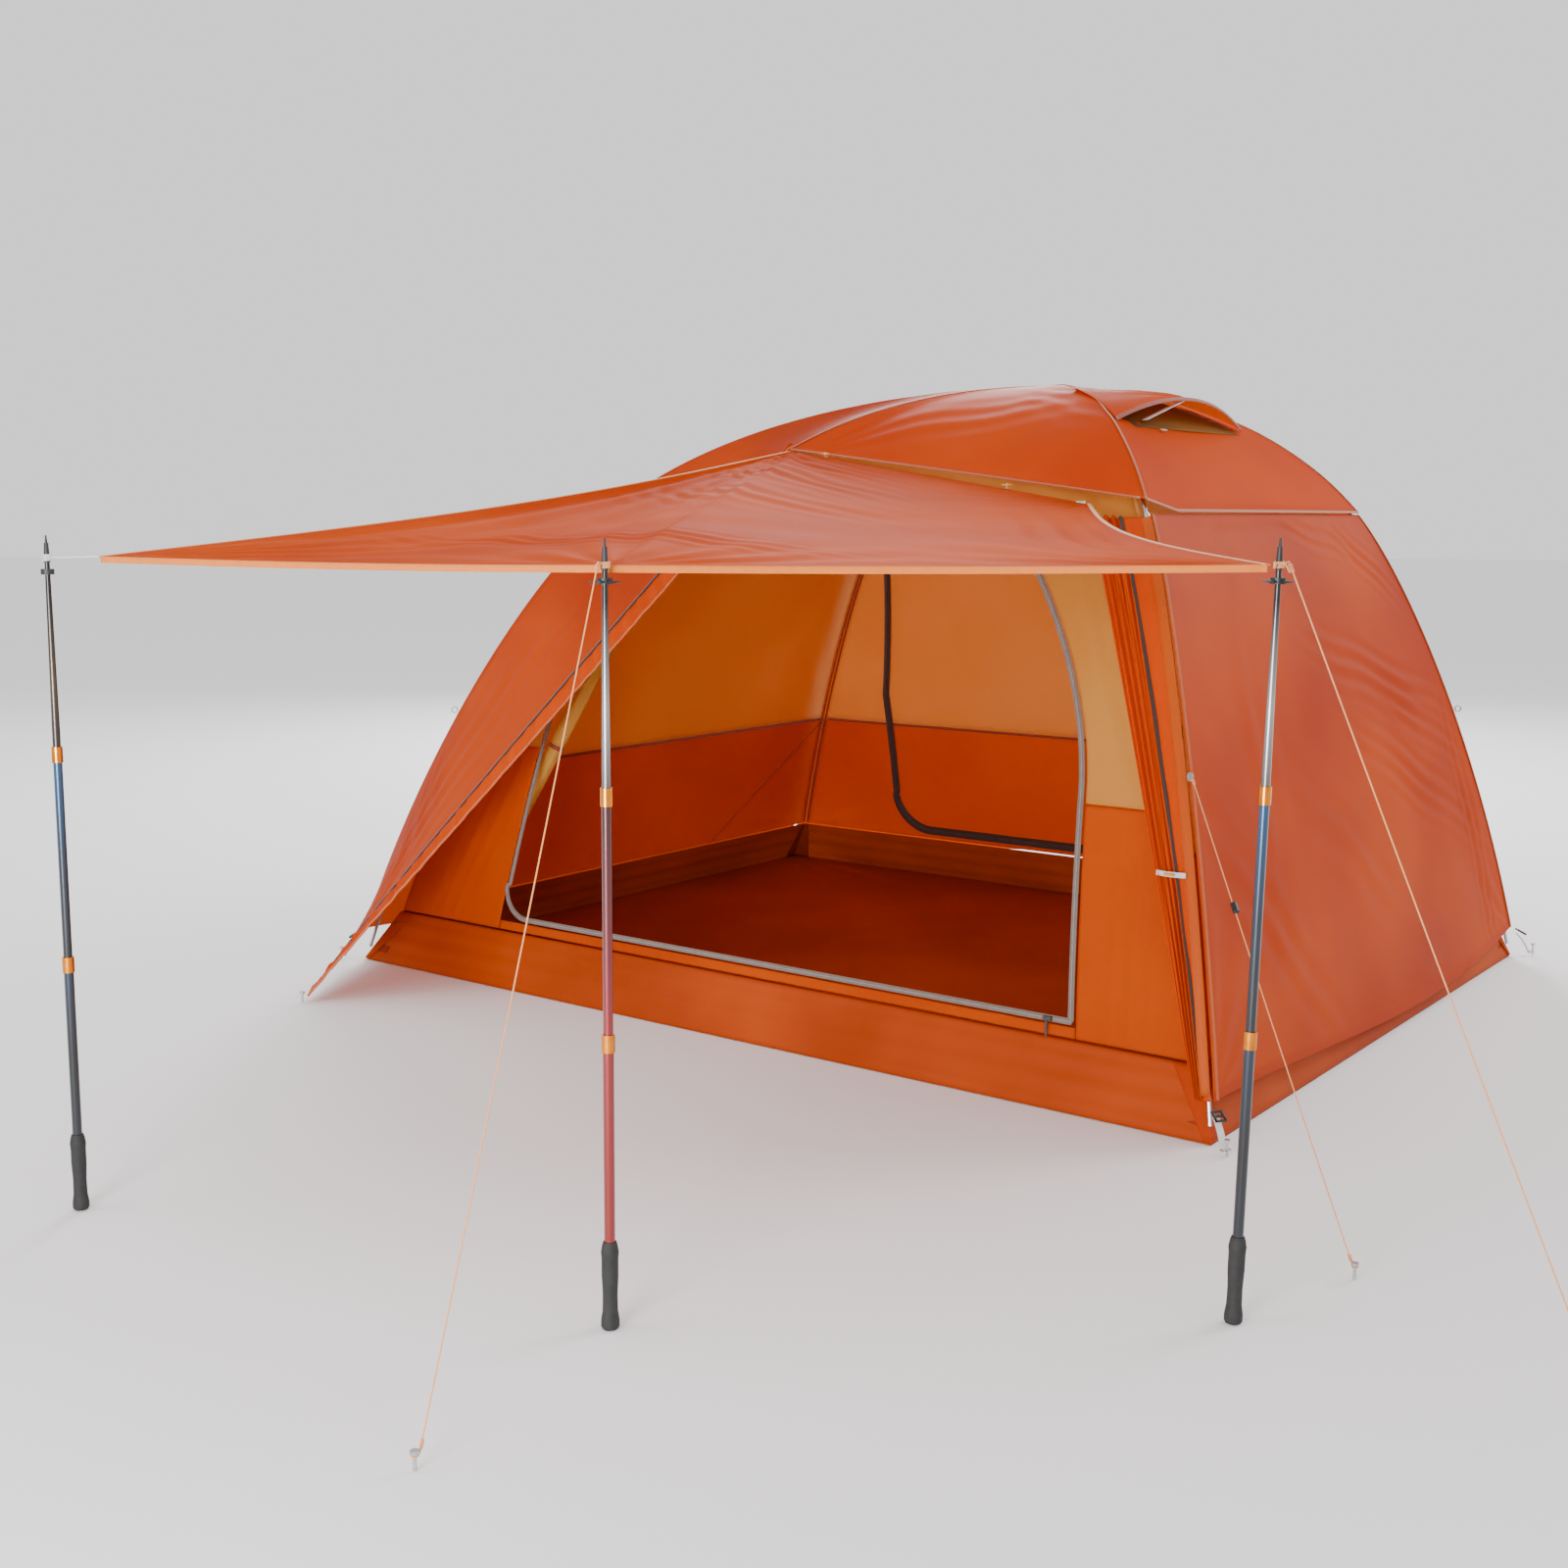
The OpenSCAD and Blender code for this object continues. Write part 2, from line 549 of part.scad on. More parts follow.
// The stay stands on the roof's cloth just below the slit and leans along it
stay_w = 14;
stay_thick = 2;
stay_foot_reach = 0.403;
stay_foot_y = -266;
stay_rise = 6;
stay_head_gap = 6;
stay_foot = [vent_x(stay_foot_reach), stay_foot_y, roof_height(stay_foot_reach) + stay_rise];
stay_head = vent_point(0.97, 0.47) - [0, 0, stay_head_gap];
module vent_prop() {
  d = stay_head - stay_foot;
  color([0.86, 0.80, 0.76])
    translate(stay_foot)
      rotate([0, acos(d[2] / norm(d)), atan2(d[1], d[0])])
        translate([-stay_thick / 2, -stay_w / 2, 0])
          cube([stay_thick, stay_w, norm(d)]);
}
mesh_drop = 7;
module vent_mesh() {
  w0 = lerp(wing_share + 0.004, roof_end, (vent_hole[2] - 0.4) / roof_cols);
  w1 = lerp(wing_share + 0.004, roof_end, (vent_hole[3] + 0.4) / roof_cols);
  stop = end_reach - 0.003;
  r0 = lerp(0.012, stop, (vent_hole[0] - 0.3) / roof_rows);
  r1 = lerp(0.012, stop, (vent_hole[1] + 0.3) / roof_rows);
  color([0.50, 0.30, 0.12])
    cloth_panel([for (i = [0 : 3]) [for (j = [0 : 4])
      skin_r(fly_layer, lerp(w0, w1, j / 4), lerp(r0, r1, i / 3)) - [0, 0, mesh_drop]]]);
}
tie_back_height = 0.418 * elbow_height;
module tie_back_strap() {
  p = skin_z(fly_layer, 0.985, tie_back_height);
  color([0.85, 0.85, 0.83])
    translate(p + [-18, -16, 0])
      cube([70, 3, 12], center = true);
}
module tie_back_toggle() {
  p = skin_z(fly_layer, 0.985, tie_back_height);
  color([0.90, 0.50, 0.10])
    translate(p + [-18, -24, 0])
      rotate([0, 90, 0])
        cylinder(h = 26, d = 7, center = true, $fn = 24);
}
// A guy-out loop stands on each leg
loop_height = 0.573 * elbow_height;
loop_stand = 12;
function loop_point(w) = let (p = skin_z(fly_layer, w, loop_height), u = rim(w) / norm(rim(w)))
  p + loop_stand * [u[0], u[1], 0];
module guyout_loops() {
  color([0.50, 0.50, 0.50])
    for (w = [0 : 3]) {
      u = rim(w) / norm(rim(w));
      translate(loop_point(w))
        rotate([90, 0, atan2(u[1], u[0])])
          difference() {
            cylinder(h = 8, d = 20, center = true, $fn = 32);
            cylinder(h = 10, d = 14, center = true, $fn = 32);
          }
    }
}
module stake(at) {
  translate([at[0], at[1], 0]) {
    cylinder(h = 26, d = 6, $fn = 24);
    translate([0, 0, 25])
      cylinder(h = 5, d = 14, $fn = 24);
  }
}
module fly_stakes() {
  color([0.75, 0.76, 0.78]) {
    stake([-wing_stake_left - 10, -wing_stake_out - 16]);
    stake([150, back_stake_out + 12]);
  }
}

// ---- Props ----
// Each prop stands on its grip. Its base and the top's lean are in millimetres.
prop_left = [-211, -2761];
prop_centre = [970, -2524];
prop_right = [1782, -1875];
lean_left = [4, 4];
lean_centre = [6, 6];
lean_right = [26, 11];
grip_end_d = upper_shaft_d + 13;
module stand(base, lean) {
  tilt = atan(norm(lean) / prop_length);
  translate([base[0], base[1], grip_end_d / 2 * sin(tilt)])
    rotate([0, 0, atan2(lean[1], lean[0])])
      rotate([0, tilt, 0])
        children();
}
// A point on a prop's axis at a height along it
function prop_point(base, lean, h) = [base[0] + lean[0] * h / prop_length,
  base[1] + lean[1] * h / prop_length, h];
props = [[prop_left, lean_left], [prop_centre, lean_centre], [prop_right, lean_right]];
module each_stand() {
  for (p = props)
    stand(p[0], p[1])
      children();
}
module pipe(z0, z1, outer, inner) {
  translate([0, 0, z0])
    difference() {
      cylinder(h = z1 - z0, d = outer, $fn = 48);
      translate([0, 0, -1])
        cylinder(h = z1 - z0 + 2, d = inner, $fn = 48);
    }
}
upper_bore = upper_shaft_d - 2 * shaft_wall;
middle_shaft_d = upper_bore - 2 * shaft_gap;
middle_bore = middle_shaft_d - 2 * shaft_wall;
lower_shaft_d = middle_bore - 2 * shaft_gap;
grip_r = upper_shaft_d / 2;
grip_floor = 18;
grip_bore = upper_shaft_d + 0.2;
module prop_grips() {
  color([0.05, 0.05, 0.055])
    each_stand()
      difference() {
        rotate_extrude($fn = 48)
          polygon([[0, 0], [grip_end_d / 2 - 2, 0], [grip_end_d / 2, 4], [grip_end_d / 2, 14],
                   [grip_r + 4, 0.2 * grip_length], [grip_r + 3.5, 0.4 * grip_length],
                   [grip_r + 5, 0.6 * grip_length], [grip_r + 5, 0.8 * grip_length],
                   [grip_r + 6, 0.88 * grip_length], [grip_r + 4, 0.96 * grip_length],
                   [grip_r + 2, grip_length], [0, grip_length]]);
        translate([0, 0, grip_floor])
          cylinder(h = grip_length, d = grip_bore, $fn = 48);
      }
}
upper_collar_at = upper_share * prop_length;
middle_collar_at = middle_share * prop_length;
collar_length = 30;
collar_wall = 2;
module prop_upper_shafts() {
  color([0.06, 0.07, 0.09])
    each_stand()
      pipe(grip_floor + 1, upper_collar_at, upper_shaft_d, upper_bore);
}
collar_bore_gap = 0.3;
module collar(z, outer, inner) {
  pipe(z + 0.2, z + collar_length, outer + 2 * collar_wall, inner + 2 * collar_bore_gap);
}
module prop_upper_collars() {
  color([0.85, 0.42, 0.06])
    each_stand()
      collar(upper_collar_at, upper_shaft_d, middle_shaft_d);
}
overlap = 70;
module middle_shaft() {
  pipe(upper_collar_at - overlap, middle_collar_at, middle_shaft_d, middle_bore);
}
lower_bore = 6;
tip_d = 9;
taper_from = prop_length - 360;
sleeve_at = prop_length - 50;
module lower_shaft() {
  pipe(middle_collar_at - overlap, taper_from, lower_shaft_d, lower_bore);
  translate([0, 0, taper_from])
    cylinder(h = sleeve_at - taper_from, d1 = lower_shaft_d, d2 = tip_d, $fn = 48);
}
basket_at = prop_length - 62;
basket_h = 10;
wing_w = 9;
module basket(span, wings) {
  translate([0, 0, basket_at - basket_h])
    difference() {
      union() {
        cylinder(h = basket_h, d = 24, $fn = 40);
        if (wings)
          for (a = [0 : 60 : 300])
            rotate([0, 0, a])
              translate([9, -wing_w / 2, 2])
                cube([span / 2 - 9, wing_w, 3]);
      }
      translate([0, 0, -1])
        cylinder(h = basket_h + 2, d = tip_d + 2.4, $fn = 40);
    }
}
tip_gap = 0.2;
module pole_tip() {
  translate([0, 0, sleeve_at + tip_gap])
    cylinder(h = prop_length - 14 - sleeve_at - tip_gap, d1 = 12, d2 = 8, $fn = 40);
  translate([0, 0, prop_length - 15])
    cylinder(h = 15, d1 = 5, d2 = 3, $fn = 32);
}
blue = [0.05, 0.16, 0.33];
red = [0.42, 0.03, 0.05];
silver = [0.62, 0.61, 0.60];
black = [0.05, 0.05, 0.055];
gold = [0.85, 0.42, 0.06];
module left_middle_shaft() { color(blue) stand(prop_left, lean_left) middle_shaft(); }
module left_middle_collar() {
  color(gold) stand(prop_left, lean_left) collar(middle_collar_at, middle_shaft_d, lower_shaft_d);
}
module left_lower_shaft() { color(silver) stand(prop_left, lean_left) lower_shaft(); }
module left_basket() { color(black) stand(prop_left, lean_left) basket(24, false); }
module left_tip() { color(black) stand(prop_left, lean_left) pole_tip(); }
module centre_middle_shaft() { color(red) stand(prop_centre, lean_centre) middle_shaft(); }
module centre_middle_collar() {
  color(gold) stand(prop_centre, lean_centre) collar(middle_collar_at, middle_shaft_d, lower_shaft_d);
}
module centre_lower_shaft() { color(silver) stand(prop_centre, lean_centre) lower_shaft(); }
module centre_basket() { color(black) stand(prop_centre, lean_centre) basket(48, true); }
module centre_tip() { color(black) stand(prop_centre, lean_centre) pole_tip(); }
module right_middle_shaft() { color(blue) stand(prop_right, lean_right) middle_shaft(); }
module right_middle_collar() {
  color(gold) stand(prop_right, lean_right) collar(middle_collar_at, middle_shaft_d, lower_shaft_d);
}
module right_lower_shaft() { color(silver) stand(prop_right, lean_right) lower_shaft(); }
module right_basket() { color(black) stand(prop_right, lean_right) basket(48, true); }
module right_tip() { color(black) stand(prop_right, lean_right) pole_tip(); }

// ---- Awning ----
tie_height = prop_length - 43;
function header_point(u) = skin_r(fly_layer, lerp(wing_share + 0.012, header_right_share, u),
  lerp(header_left_reach, header_right_reach, u) + 0.004) + [0, -2, 0];
tie_left = prop_point(prop_left, lean_left, tie_height) + [92, 54, 4];
tie_centre = prop_point(prop_centre, lean_centre, tie_height) + [-4, 20, 0];
tie_right = prop_point(prop_right, lean_right, tie_height) + [-26, 16, 0];
hem_turn = 0.58;
// How far each free edge bows in at its middle
front_bow = [0, 60, -6];
side_bow = [-40, 40, -4];
left_bow = [45, 0, -20];
right_bow = [-50, -40, -12];
function bowed(a, b, bow, t) = lerp(a, b, t) + bow * sin(180 * t);
function front_point(u) = u < hem_turn
  ? bowed(tie_left, tie_centre, front_bow, u / hem_turn)
  : bowed(tie_centre, tie_right, side_bow, (u - hem_turn) / (1 - hem_turn));
function left_point(v) = bowed(header_point(0), tie_left, left_bow, v);
function right_point(v) = bowed(header_point(1), tie_right, right_bow, v);
function awning_point(u, v) = lerp(header_point(u), front_point(u), v)
  + lerp(left_point(v), right_point(v), u)
  - lerp(lerp(header_point(0), header_point(1), u), lerp(tie_left, tie_right, u), v);
module awning() {
  color([0.84, 0.40, 0.16])
    cloth_panel([for (i = [0 : 10]) [for (j = [0 : 14]) awning_point(j / 14, i / 10)]]);
}
toggle_shares = [0.18, 0.80];
module awning_toggles() {
  color([0.92, 0.80, 0.62]) {
    for (u = toggle_shares)
      translate(header_point(u) + [0, -8, 10])
        rotate([0, 90, 0])
          cylinder(h = 30, d = 7, center = true, $fn = 24);
    translate(awning_point(0.52, 0.42) + [0, 0, 8])
      rotate([0, 90, 30])
        cylinder(h = 30, d = 7, center = true, $fn = 24);
  }
}
corner_cord_d = 3;
module awning_corner_cord() {
  a = tie_left + [-4, -2, 0];
  b = prop_point(prop_left, lean_left, tie_height) + [7, 4, 2];
  color([0.92, 0.92, 0.90])
    swept_tube([a, lerp(a, b, 0.5), b], corner_cord_d / 2);
}

// ---- Guy lines ----
stake_centre = [1065, -3030];
stake_right = [2400, -1930];
stake_corner = [1880, -1580];
guy_low = 22;
function guy_path(a, b, n) = [for (i = [0 : n]) lerp(a, b, i / n)];
function stake_top(s) = [s[0], s[1], guy_low];
guy_centre_from = prop_point(prop_centre, lean_centre, tie_height) + [2, -17, 6];
guy_right_from = prop_point(prop_right, lean_right, tie_height) + [17, -2, 6];
guy_corner_from = loop_point(1) + [9, -9, -2];
module guy_line_centre() {
  color([0.95, 0.55, 0.15])
    swept_tube(guy_path(guy_centre_from, stake_top(stake_centre) + [0, 9, 0], 8), guy_d / 2);
}
module guy_line_right() {
  color([0.95, 0.55, 0.15])
    swept_tube(guy_path(guy_right_from, stake_top(stake_right) + [-9, 0, 0], 8), guy_d / 2);
}
module guy_line_corner() {
  color([0.95, 0.55, 0.15])
    swept_tube(guy_path(guy_corner_from, stake_top(stake_corner) + [-7, 7, 0], 8), guy_d / 2);
}
lock_share = 0.30;
lock_length = 22;
module corner_line_lock() {
  a = guy_corner_from;
  b = stake_top(stake_corner) + [-7, 7, 0];
  u = (b - a) / norm(b - a);
  m = lerp(a, b, lock_share);
  color([0.30, 0.30, 0.32])
    difference() {
      rod(m, m + u * lock_length, 7);
      rod(m - u * 5, m + u * (lock_length + 5), guy_d / 2 + 0.6);
    }
}
module guy_stakes() {
  color([0.75, 0.76, 0.78])
    for (s = [stake_centre, stake_right, stake_corner])
      stake(s);
}

floor_tub();
inner_lower_walls();
inner_upper_walls();
inner_front_wall();
door_zip();
door_slider();
back_zip();
back_slider();
door_roll();
tension_cords();
pole_hub();
front_legs();
back_legs();
roof_cross_pole();
pole_sleeves();
pole_clips();
corner_webbing();
corner_buckles();
corner_pins();
fly_roof();
fly_left_end();
fly_right_end();
fly_front_wing();
fly_front_strip();
fly_back_vestibule();
vent_flap();
vent_prop();
vent_mesh();
tie_back_strap();
tie_back_toggle();
guyout_loops();
fly_stakes();
awning();
awning_toggles();
awning_corner_cord();
guy_line_centre();
guy_line_right();
guy_line_corner();
corner_line_lock();
guy_stakes();
prop_grips();
prop_upper_shafts();
prop_upper_collars();
left_middle_shaft();
left_middle_collar();
left_lower_shaft();
left_basket();
left_tip();
centre_middle_shaft();
centre_middle_collar();
centre_lower_shaft();
centre_basket();
centre_tip();
right_middle_shaft();
right_middle_collar();
right_lower_shaft();
right_basket();
right_tip();
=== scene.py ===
# %% [markdown]
# # A family dome tent with its door spread as an awning
#
# The tent is an inner room of light cloth under a waterproof fly, both held by
# four bent alloy legs that meet in one hub.  The front panel of the fly is
# unzipped and drawn out over three upturned trekking poles, so that it shades
# the doorway, and guy lines pull the poles outwards.
#
# Hard parts that carry load come ready made from the frame.  Everything sewn is
# built here: each panel is a surface worked out with numpy, because cloth under
# tension is a smooth sheet between a few edges, and an edge is easy to describe.

import math

import bmesh
import bpy
import numpy as np
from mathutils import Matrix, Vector


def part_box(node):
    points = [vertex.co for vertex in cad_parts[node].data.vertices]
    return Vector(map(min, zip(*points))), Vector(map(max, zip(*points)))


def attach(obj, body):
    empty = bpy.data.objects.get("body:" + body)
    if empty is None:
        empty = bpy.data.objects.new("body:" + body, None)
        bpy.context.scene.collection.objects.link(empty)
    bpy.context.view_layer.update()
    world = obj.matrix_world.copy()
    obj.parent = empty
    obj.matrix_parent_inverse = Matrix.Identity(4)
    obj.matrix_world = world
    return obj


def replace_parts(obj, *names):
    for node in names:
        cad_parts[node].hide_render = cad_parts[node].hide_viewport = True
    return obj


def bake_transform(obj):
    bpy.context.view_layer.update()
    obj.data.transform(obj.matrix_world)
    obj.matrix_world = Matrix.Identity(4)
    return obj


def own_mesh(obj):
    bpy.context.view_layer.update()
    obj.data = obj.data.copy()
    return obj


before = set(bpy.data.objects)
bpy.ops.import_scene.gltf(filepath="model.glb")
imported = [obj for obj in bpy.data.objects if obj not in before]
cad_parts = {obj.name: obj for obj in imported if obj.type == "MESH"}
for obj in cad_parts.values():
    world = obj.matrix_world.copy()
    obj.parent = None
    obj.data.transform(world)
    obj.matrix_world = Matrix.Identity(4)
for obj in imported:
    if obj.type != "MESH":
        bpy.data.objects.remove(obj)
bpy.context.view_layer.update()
HOME = "tent"

# %% [markdown]
# ## The camera
#
# A tent is seen standing up, a little above chest height.  A normal lens from
# six metres keeps the near pole tall and the far corner small, as the eye sees
# it.  The camera looks down by a few degrees and isn't rolled, so its uprights
# fan out only slightly.

# %% Camera
EYE = (2.940, -4.621, 1.327)
TURN_DEG = 37.46
TILT_DEG = 8.242
LENS_MM = 41.78


def add_camera():
    """A camera at EYE, turned left from straight ahead and tilted down."""
    data = bpy.data.cameras.new("camera")
    data.lens = LENS_MM
    data.sensor_width = 36.0
    data.clip_end = 100.0
    cam = bpy.data.objects.new("camera", data)
    cam.location = EYE
    cam.rotation_euler = (math.radians(90 - TILT_DEG), 0.0, math.radians(TURN_DEG))
    bpy.context.collection.objects.link(cam)
    bpy.context.scene.camera = cam


add_camera()
print("camera lens", LENS_MM, "mm at", EYE)

# %% [markdown]
# ## Helpers for meshes
#
# Two kinds of mesh are enough for a tent.  A grid of points becomes a sheet,
# and a small outline carried along a path becomes a tube, tape or hem.  Both
# are made from whole arrays, which is quick and keeps the formulas readable.


# %% Grid to mesh
def grid_faces(rows, cols, wrap=False):
    """Quads of a rows by cols grid of points, as an index array."""
    i, j = np.meshgrid(np.arange(rows - 1), np.arange(cols if wrap else cols - 1), indexing="ij")
    k = (j + 1) % cols
    quads = np.stack([i * cols + j, (i + 1) * cols + j, (i + 1) * cols + k, i * cols + k], -1)
    return quads.reshape(-1, 4)


def run_length(points, axis):
    """Distance along a grid's rows or columns, summed from the first point."""
    step = np.linalg.norm(np.diff(points, axis=axis), axis=-1)
    total = np.cumsum(step, axis=axis)
    return np.insert(total, 0, 0.0, axis=axis)


def mesh_from_arrays(name, verts, quads, uv=None, caps=(), attributes=None):
    """A mesh object at the origin, shaded smooth, with a UV in metres."""
    faces = [tuple(q) for q in quads.tolist()] + [tuple(c) for c in caps]
    mesh = bpy.data.meshes.new(name)
    mesh.from_pydata(verts.reshape(-1, 3).tolist(), [], faces)
    mesh.polygons.foreach_set("use_smooth", np.ones(len(mesh.polygons), bool))
    if uv is not None:
        loops = np.zeros(len(mesh.loops), np.int32)
        mesh.loops.foreach_get("vertex_index", loops)
        layer = mesh.uv_layers.new(name="cloth")
        layer.data.foreach_set("uv", uv.reshape(-1, 2)[loops].astype(np.float32).ravel())
    for key, values in (attributes or {}).items():
        mesh.attributes.new(key, "FLOAT", "POINT").data.foreach_set(
            "value", values.astype(np.float32).ravel()
        )
    mesh.update()
    obj = bpy.data.objects.new(name, mesh)
    bpy.context.collection.objects.link(obj)
    return obj


def unit(v):
    """A vector, or an array of vectors, made one long."""
    v = np.asarray(v, float)
    return v / np.maximum(np.linalg.norm(v, axis=-1, keepdims=True), 1e-12)


def grid_normals(points):
    """The cross product of the two grid directions at every point."""
    down = np.gradient(points, axis=0)
    along = np.gradient(points, axis=1)
    return unit(np.cross(down, along))


# %% Path to tube or tape
def path_frames(path, up):
    """Tangent, sideways and upwards directions at each point of a path."""
    t = unit(np.gradient(path, axis=0))
    up = np.broadcast_to(np.asarray(up, float), path.shape)
    side = unit(np.cross(t, up))
    return t, side, unit(np.cross(side, t))


def carry(name, path, outline, up=(0, 0, 1), scale=None):
    """An outline of (side, up) points carried along a path, with flat ends.

    Each ring is path + side * x + up * y, so the mesh is one closed skin."""
    path = np.asarray(path, float)
    outline = np.asarray(outline, float)
    _, side, lift = path_frames(path, up)
    size = np.ones(len(path)) if scale is None else np.asarray(scale, float)
    x = outline[None, :, 0, None] * size[:, None, None]
    y = outline[None, :, 1, None] * size[:, None, None]
    verts = path[:, None, :] + side[:, None, :] * x + lift[:, None, :] * y
    n, m = len(path), len(outline)
    length = run_length(path, 0)
    around = np.linspace(0, 1, m)
    uv = np.stack(np.broadcast_arrays(length[:, None], around[None, :]), -1)
    caps = [tuple(range(m)), tuple((n - 1) * m + np.arange(m)[::-1])]
    return mesh_from_arrays(name, verts, grid_faces(n, m, wrap=True)[:, ::-1], uv, caps)


def round_outline(radius, sides=10):
    """Points of a circle, counter-clockwise."""
    a = np.linspace(0, 2 * np.pi, sides, endpoint=False)
    return np.stack([radius * np.cos(a), radius * np.sin(a)], -1)


def tape_outline(width, thick):
    """A flat tape's outline with eased corners."""
    w, h, e = width / 2, thick / 2, min(thick, width) / 4
    return [(-w, -h + e), (-w + e, -h), (w - e, -h), (w, -h + e),
            (w, h - e), (w - e, h), (-w + e, h), (-w, h - e)]


def straight(a, b, count):
    """Evenly spaced points from a to b."""
    t = np.linspace(0, 1, count)[:, None]
    return np.asarray(a, float) * (1 - t) + np.asarray(b, float) * t


# %% [markdown]
# ## The shape that the poles give
#
# Every layer of the tent follows the same line: flat over the hub, an elbow at
# shoulder height and a steep lower leg.  Two curves joined at the elbow give it.
# A layer is that line swept round the rectangle of the floor, drawn in a little
# for the inner tent and let out a little for the fly.

# %% The tent's line
floor_low, floor_high = (np.array(c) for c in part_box("floor_tub"))
HALF_LENGTH = 1.39
HALF_WIDTH = 1.09
PEAK = 1.70
ELBOW = 1.34
HUB = np.array([0.35, 0.0])
CORNERS = np.array([[-1, -1], [1, -1], [1, 1], [-1, 1]]) * [HALF_LENGTH, HALF_WIDTH]
CROWN = np.array([[0, PEAK], [0.25, PEAK], [0.48, (PEAK + 2 * ELBOW) / 3 + 0.12], [0.62, ELBOW]])
SHIN = np.array([[0.62, ELBOW], [0.73, ELBOW - 0.19], [0.905, ELBOW * 0.463], [1, 0]])
FLY = (1.012, 1.0, 0.0)
INNER = (0.962, 0.965, 0.003)
print("floor measured", np.round(floor_high - floor_low, 3))


def bezier(p, t):
    """The cubic curve that starts at p0, ends at p3 and leans on p1 and p2."""
    t = np.asarray(t, float)[..., None]
    s = 1 - t
    return s**3 * p[0] + 3 * s * s * t * p[1] + 3 * s * t * t * p[2] + t**3 * p[3]


LINE = np.concatenate([bezier(CROWN, np.linspace(0, 1, 60)),
                       bezier(SHIN, np.linspace(0, 1, 60))[1:]])


def reach_of(z):
    """Share of the way from the hub to the corner at a height on the line."""
    return np.interp(z, LINE[::-1, 1], LINE[::-1, 0])


def height_of(r):
    """Height of the line at a share of the way out."""
    return np.interp(r, LINE[:, 0], LINE[:, 1])


def rim(w):
    """The floor's edge: w runs 0 to 4 round the corners from the front left."""
    w = np.asarray(w, float)
    i = np.clip(np.floor(w).astype(int), 0, 3)
    t = (w - i)[..., None]
    return CORNERS[i] * (1 - t) + CORNERS[(i + 1) % 4] * t


def on_layer(layer, w, r=None, z=None):
    """A point of a layer from w round the rim and either reach or height."""
    r = reach_of(z) if r is None else np.asarray(r, float)
    z = height_of(r) if z is None else np.asarray(z, float)
    w, r, z = np.broadcast_arrays(np.asarray(w, float), r, z)
    plan = HUB + (r * layer[0])[..., None] * (rim(w) - HUB)
    return np.concatenate([plan, (z * layer[1] + layer[2])[..., None]], -1)


def side_share(layer, x, z):
    """w along the front at which a layer has this x at this height."""
    return ((x - HUB[0]) / (reach_of(z) * layer[0]) + HUB[0] + HALF_LENGTH) / (2 * HALF_LENGTH)


# %% [markdown]
# ## Guy lines and small cords
#
# Cords come before the cloth, because they set how far the tent spreads.  A
# guy line is thin braid under tension, so it is straight but for a slight sag,
# and its shape is a round outline carried along that line.  Each one runs from
# its loop or pole top down to a stake.

# %% Places of the props and stakes
PROP_BASE = {"left": (-0.211, -2.761), "centre": (0.970, -2.524), "right": (1.782, -1.875)}
PROP_LEAN = {"left": (0.004, 0.004), "centre": (0.006, 0.006), "right": (0.026, 0.011)}
PROP_LENGTH = 1.30
TIE_HEIGHT = 1.257
STAKES = {"centre": (1.065, -3.030), "right": (2.400, -1.930), "corner": (1.880, -1.580)}
LOOP_HEIGHT = 0.768
GUY_LOW = 0.022
GUY_THICK = 0.0024


def prop_point(side, height):
    """A point on a prop's leaning axis."""
    base, lean = np.array(PROP_BASE[side]), np.array(PROP_LEAN[side])
    return np.append(base + lean * height / PROP_LENGTH, height)


def corner_way(w):
    """The level direction from the floor's centre to a place on the rim."""
    return np.append(unit(rim(w)), 0.0)


def loop_point(w):
    """Middle of the guy-out loop on a leg."""
    return on_layer(FLY, w, z=LOOP_HEIGHT) + 0.012 * corner_way(w)


def stake_top(side):
    """Where a guy line meets its stake."""
    return np.append(STAKES[side], GUY_LOW)


# %% Guy lines
def sagged(a, b, sag, count=40):
    """A straight run from a to b that hangs by sag at its middle."""
    path = straight(a, b, count)
    t = np.linspace(0, 1, count)
    path[:, 2] -= sag * 4 * t * (1 - t)
    return path


def braided(name, path, thick, sides=10):
    """A round cord along a path, with its length in metres as a UV."""
    up = (0, 0, 1) if abs(unit(path[-1] - path[0])[2]) < 0.95 else (1, 0, 0)
    return carry(name, path, round_outline(thick / 2, sides), up)


guy_runs = {
    "centre": (prop_point("centre", TIE_HEIGHT) + [0.002, -0.017, 0.006],
               stake_top("centre") + [0, 0.009, 0]),
    "right": (prop_point("right", TIE_HEIGHT) + [0.017, -0.002, 0.006],
              stake_top("right") + [-0.009, 0, 0]),
    "corner": (loop_point(1) + [0.009, -0.009, -0.002],
               stake_top("corner") + [-0.007, 0.007, 0]),
}


def winding(start, way, radius, turns, pitch, steps=16):
    """Points of a screw line round an axis: radius * (cos a, sin a) that climbs by pitch a turn."""
    way = unit(way)
    across = unit(np.cross(way, (0.3, 0.9, 0.1)))
    other = np.cross(way, across)
    a = np.linspace(0, 2 * np.pi * turns, int(turns * steps))[:, None]
    return (np.asarray(start) + radius * (np.cos(a) * across + np.sin(a) * other)
            + way * pitch * a / (2 * np.pi))


def round_stake(end, stake, hug=0.0046):
    """A cord's eye: from its end round the far side of a stake and back to the end."""
    out = unit((end - stake) * [1, 1, 0])
    side = np.cross((0, 0, 1), out)
    a = np.radians(np.linspace(65, 295, 24))[:, None]
    arc = stake * [1, 1, 0] + [0, 0, end[2]] + hug * (np.cos(a) * out + np.sin(a) * side)
    return np.concatenate([[end], arc, [end]])


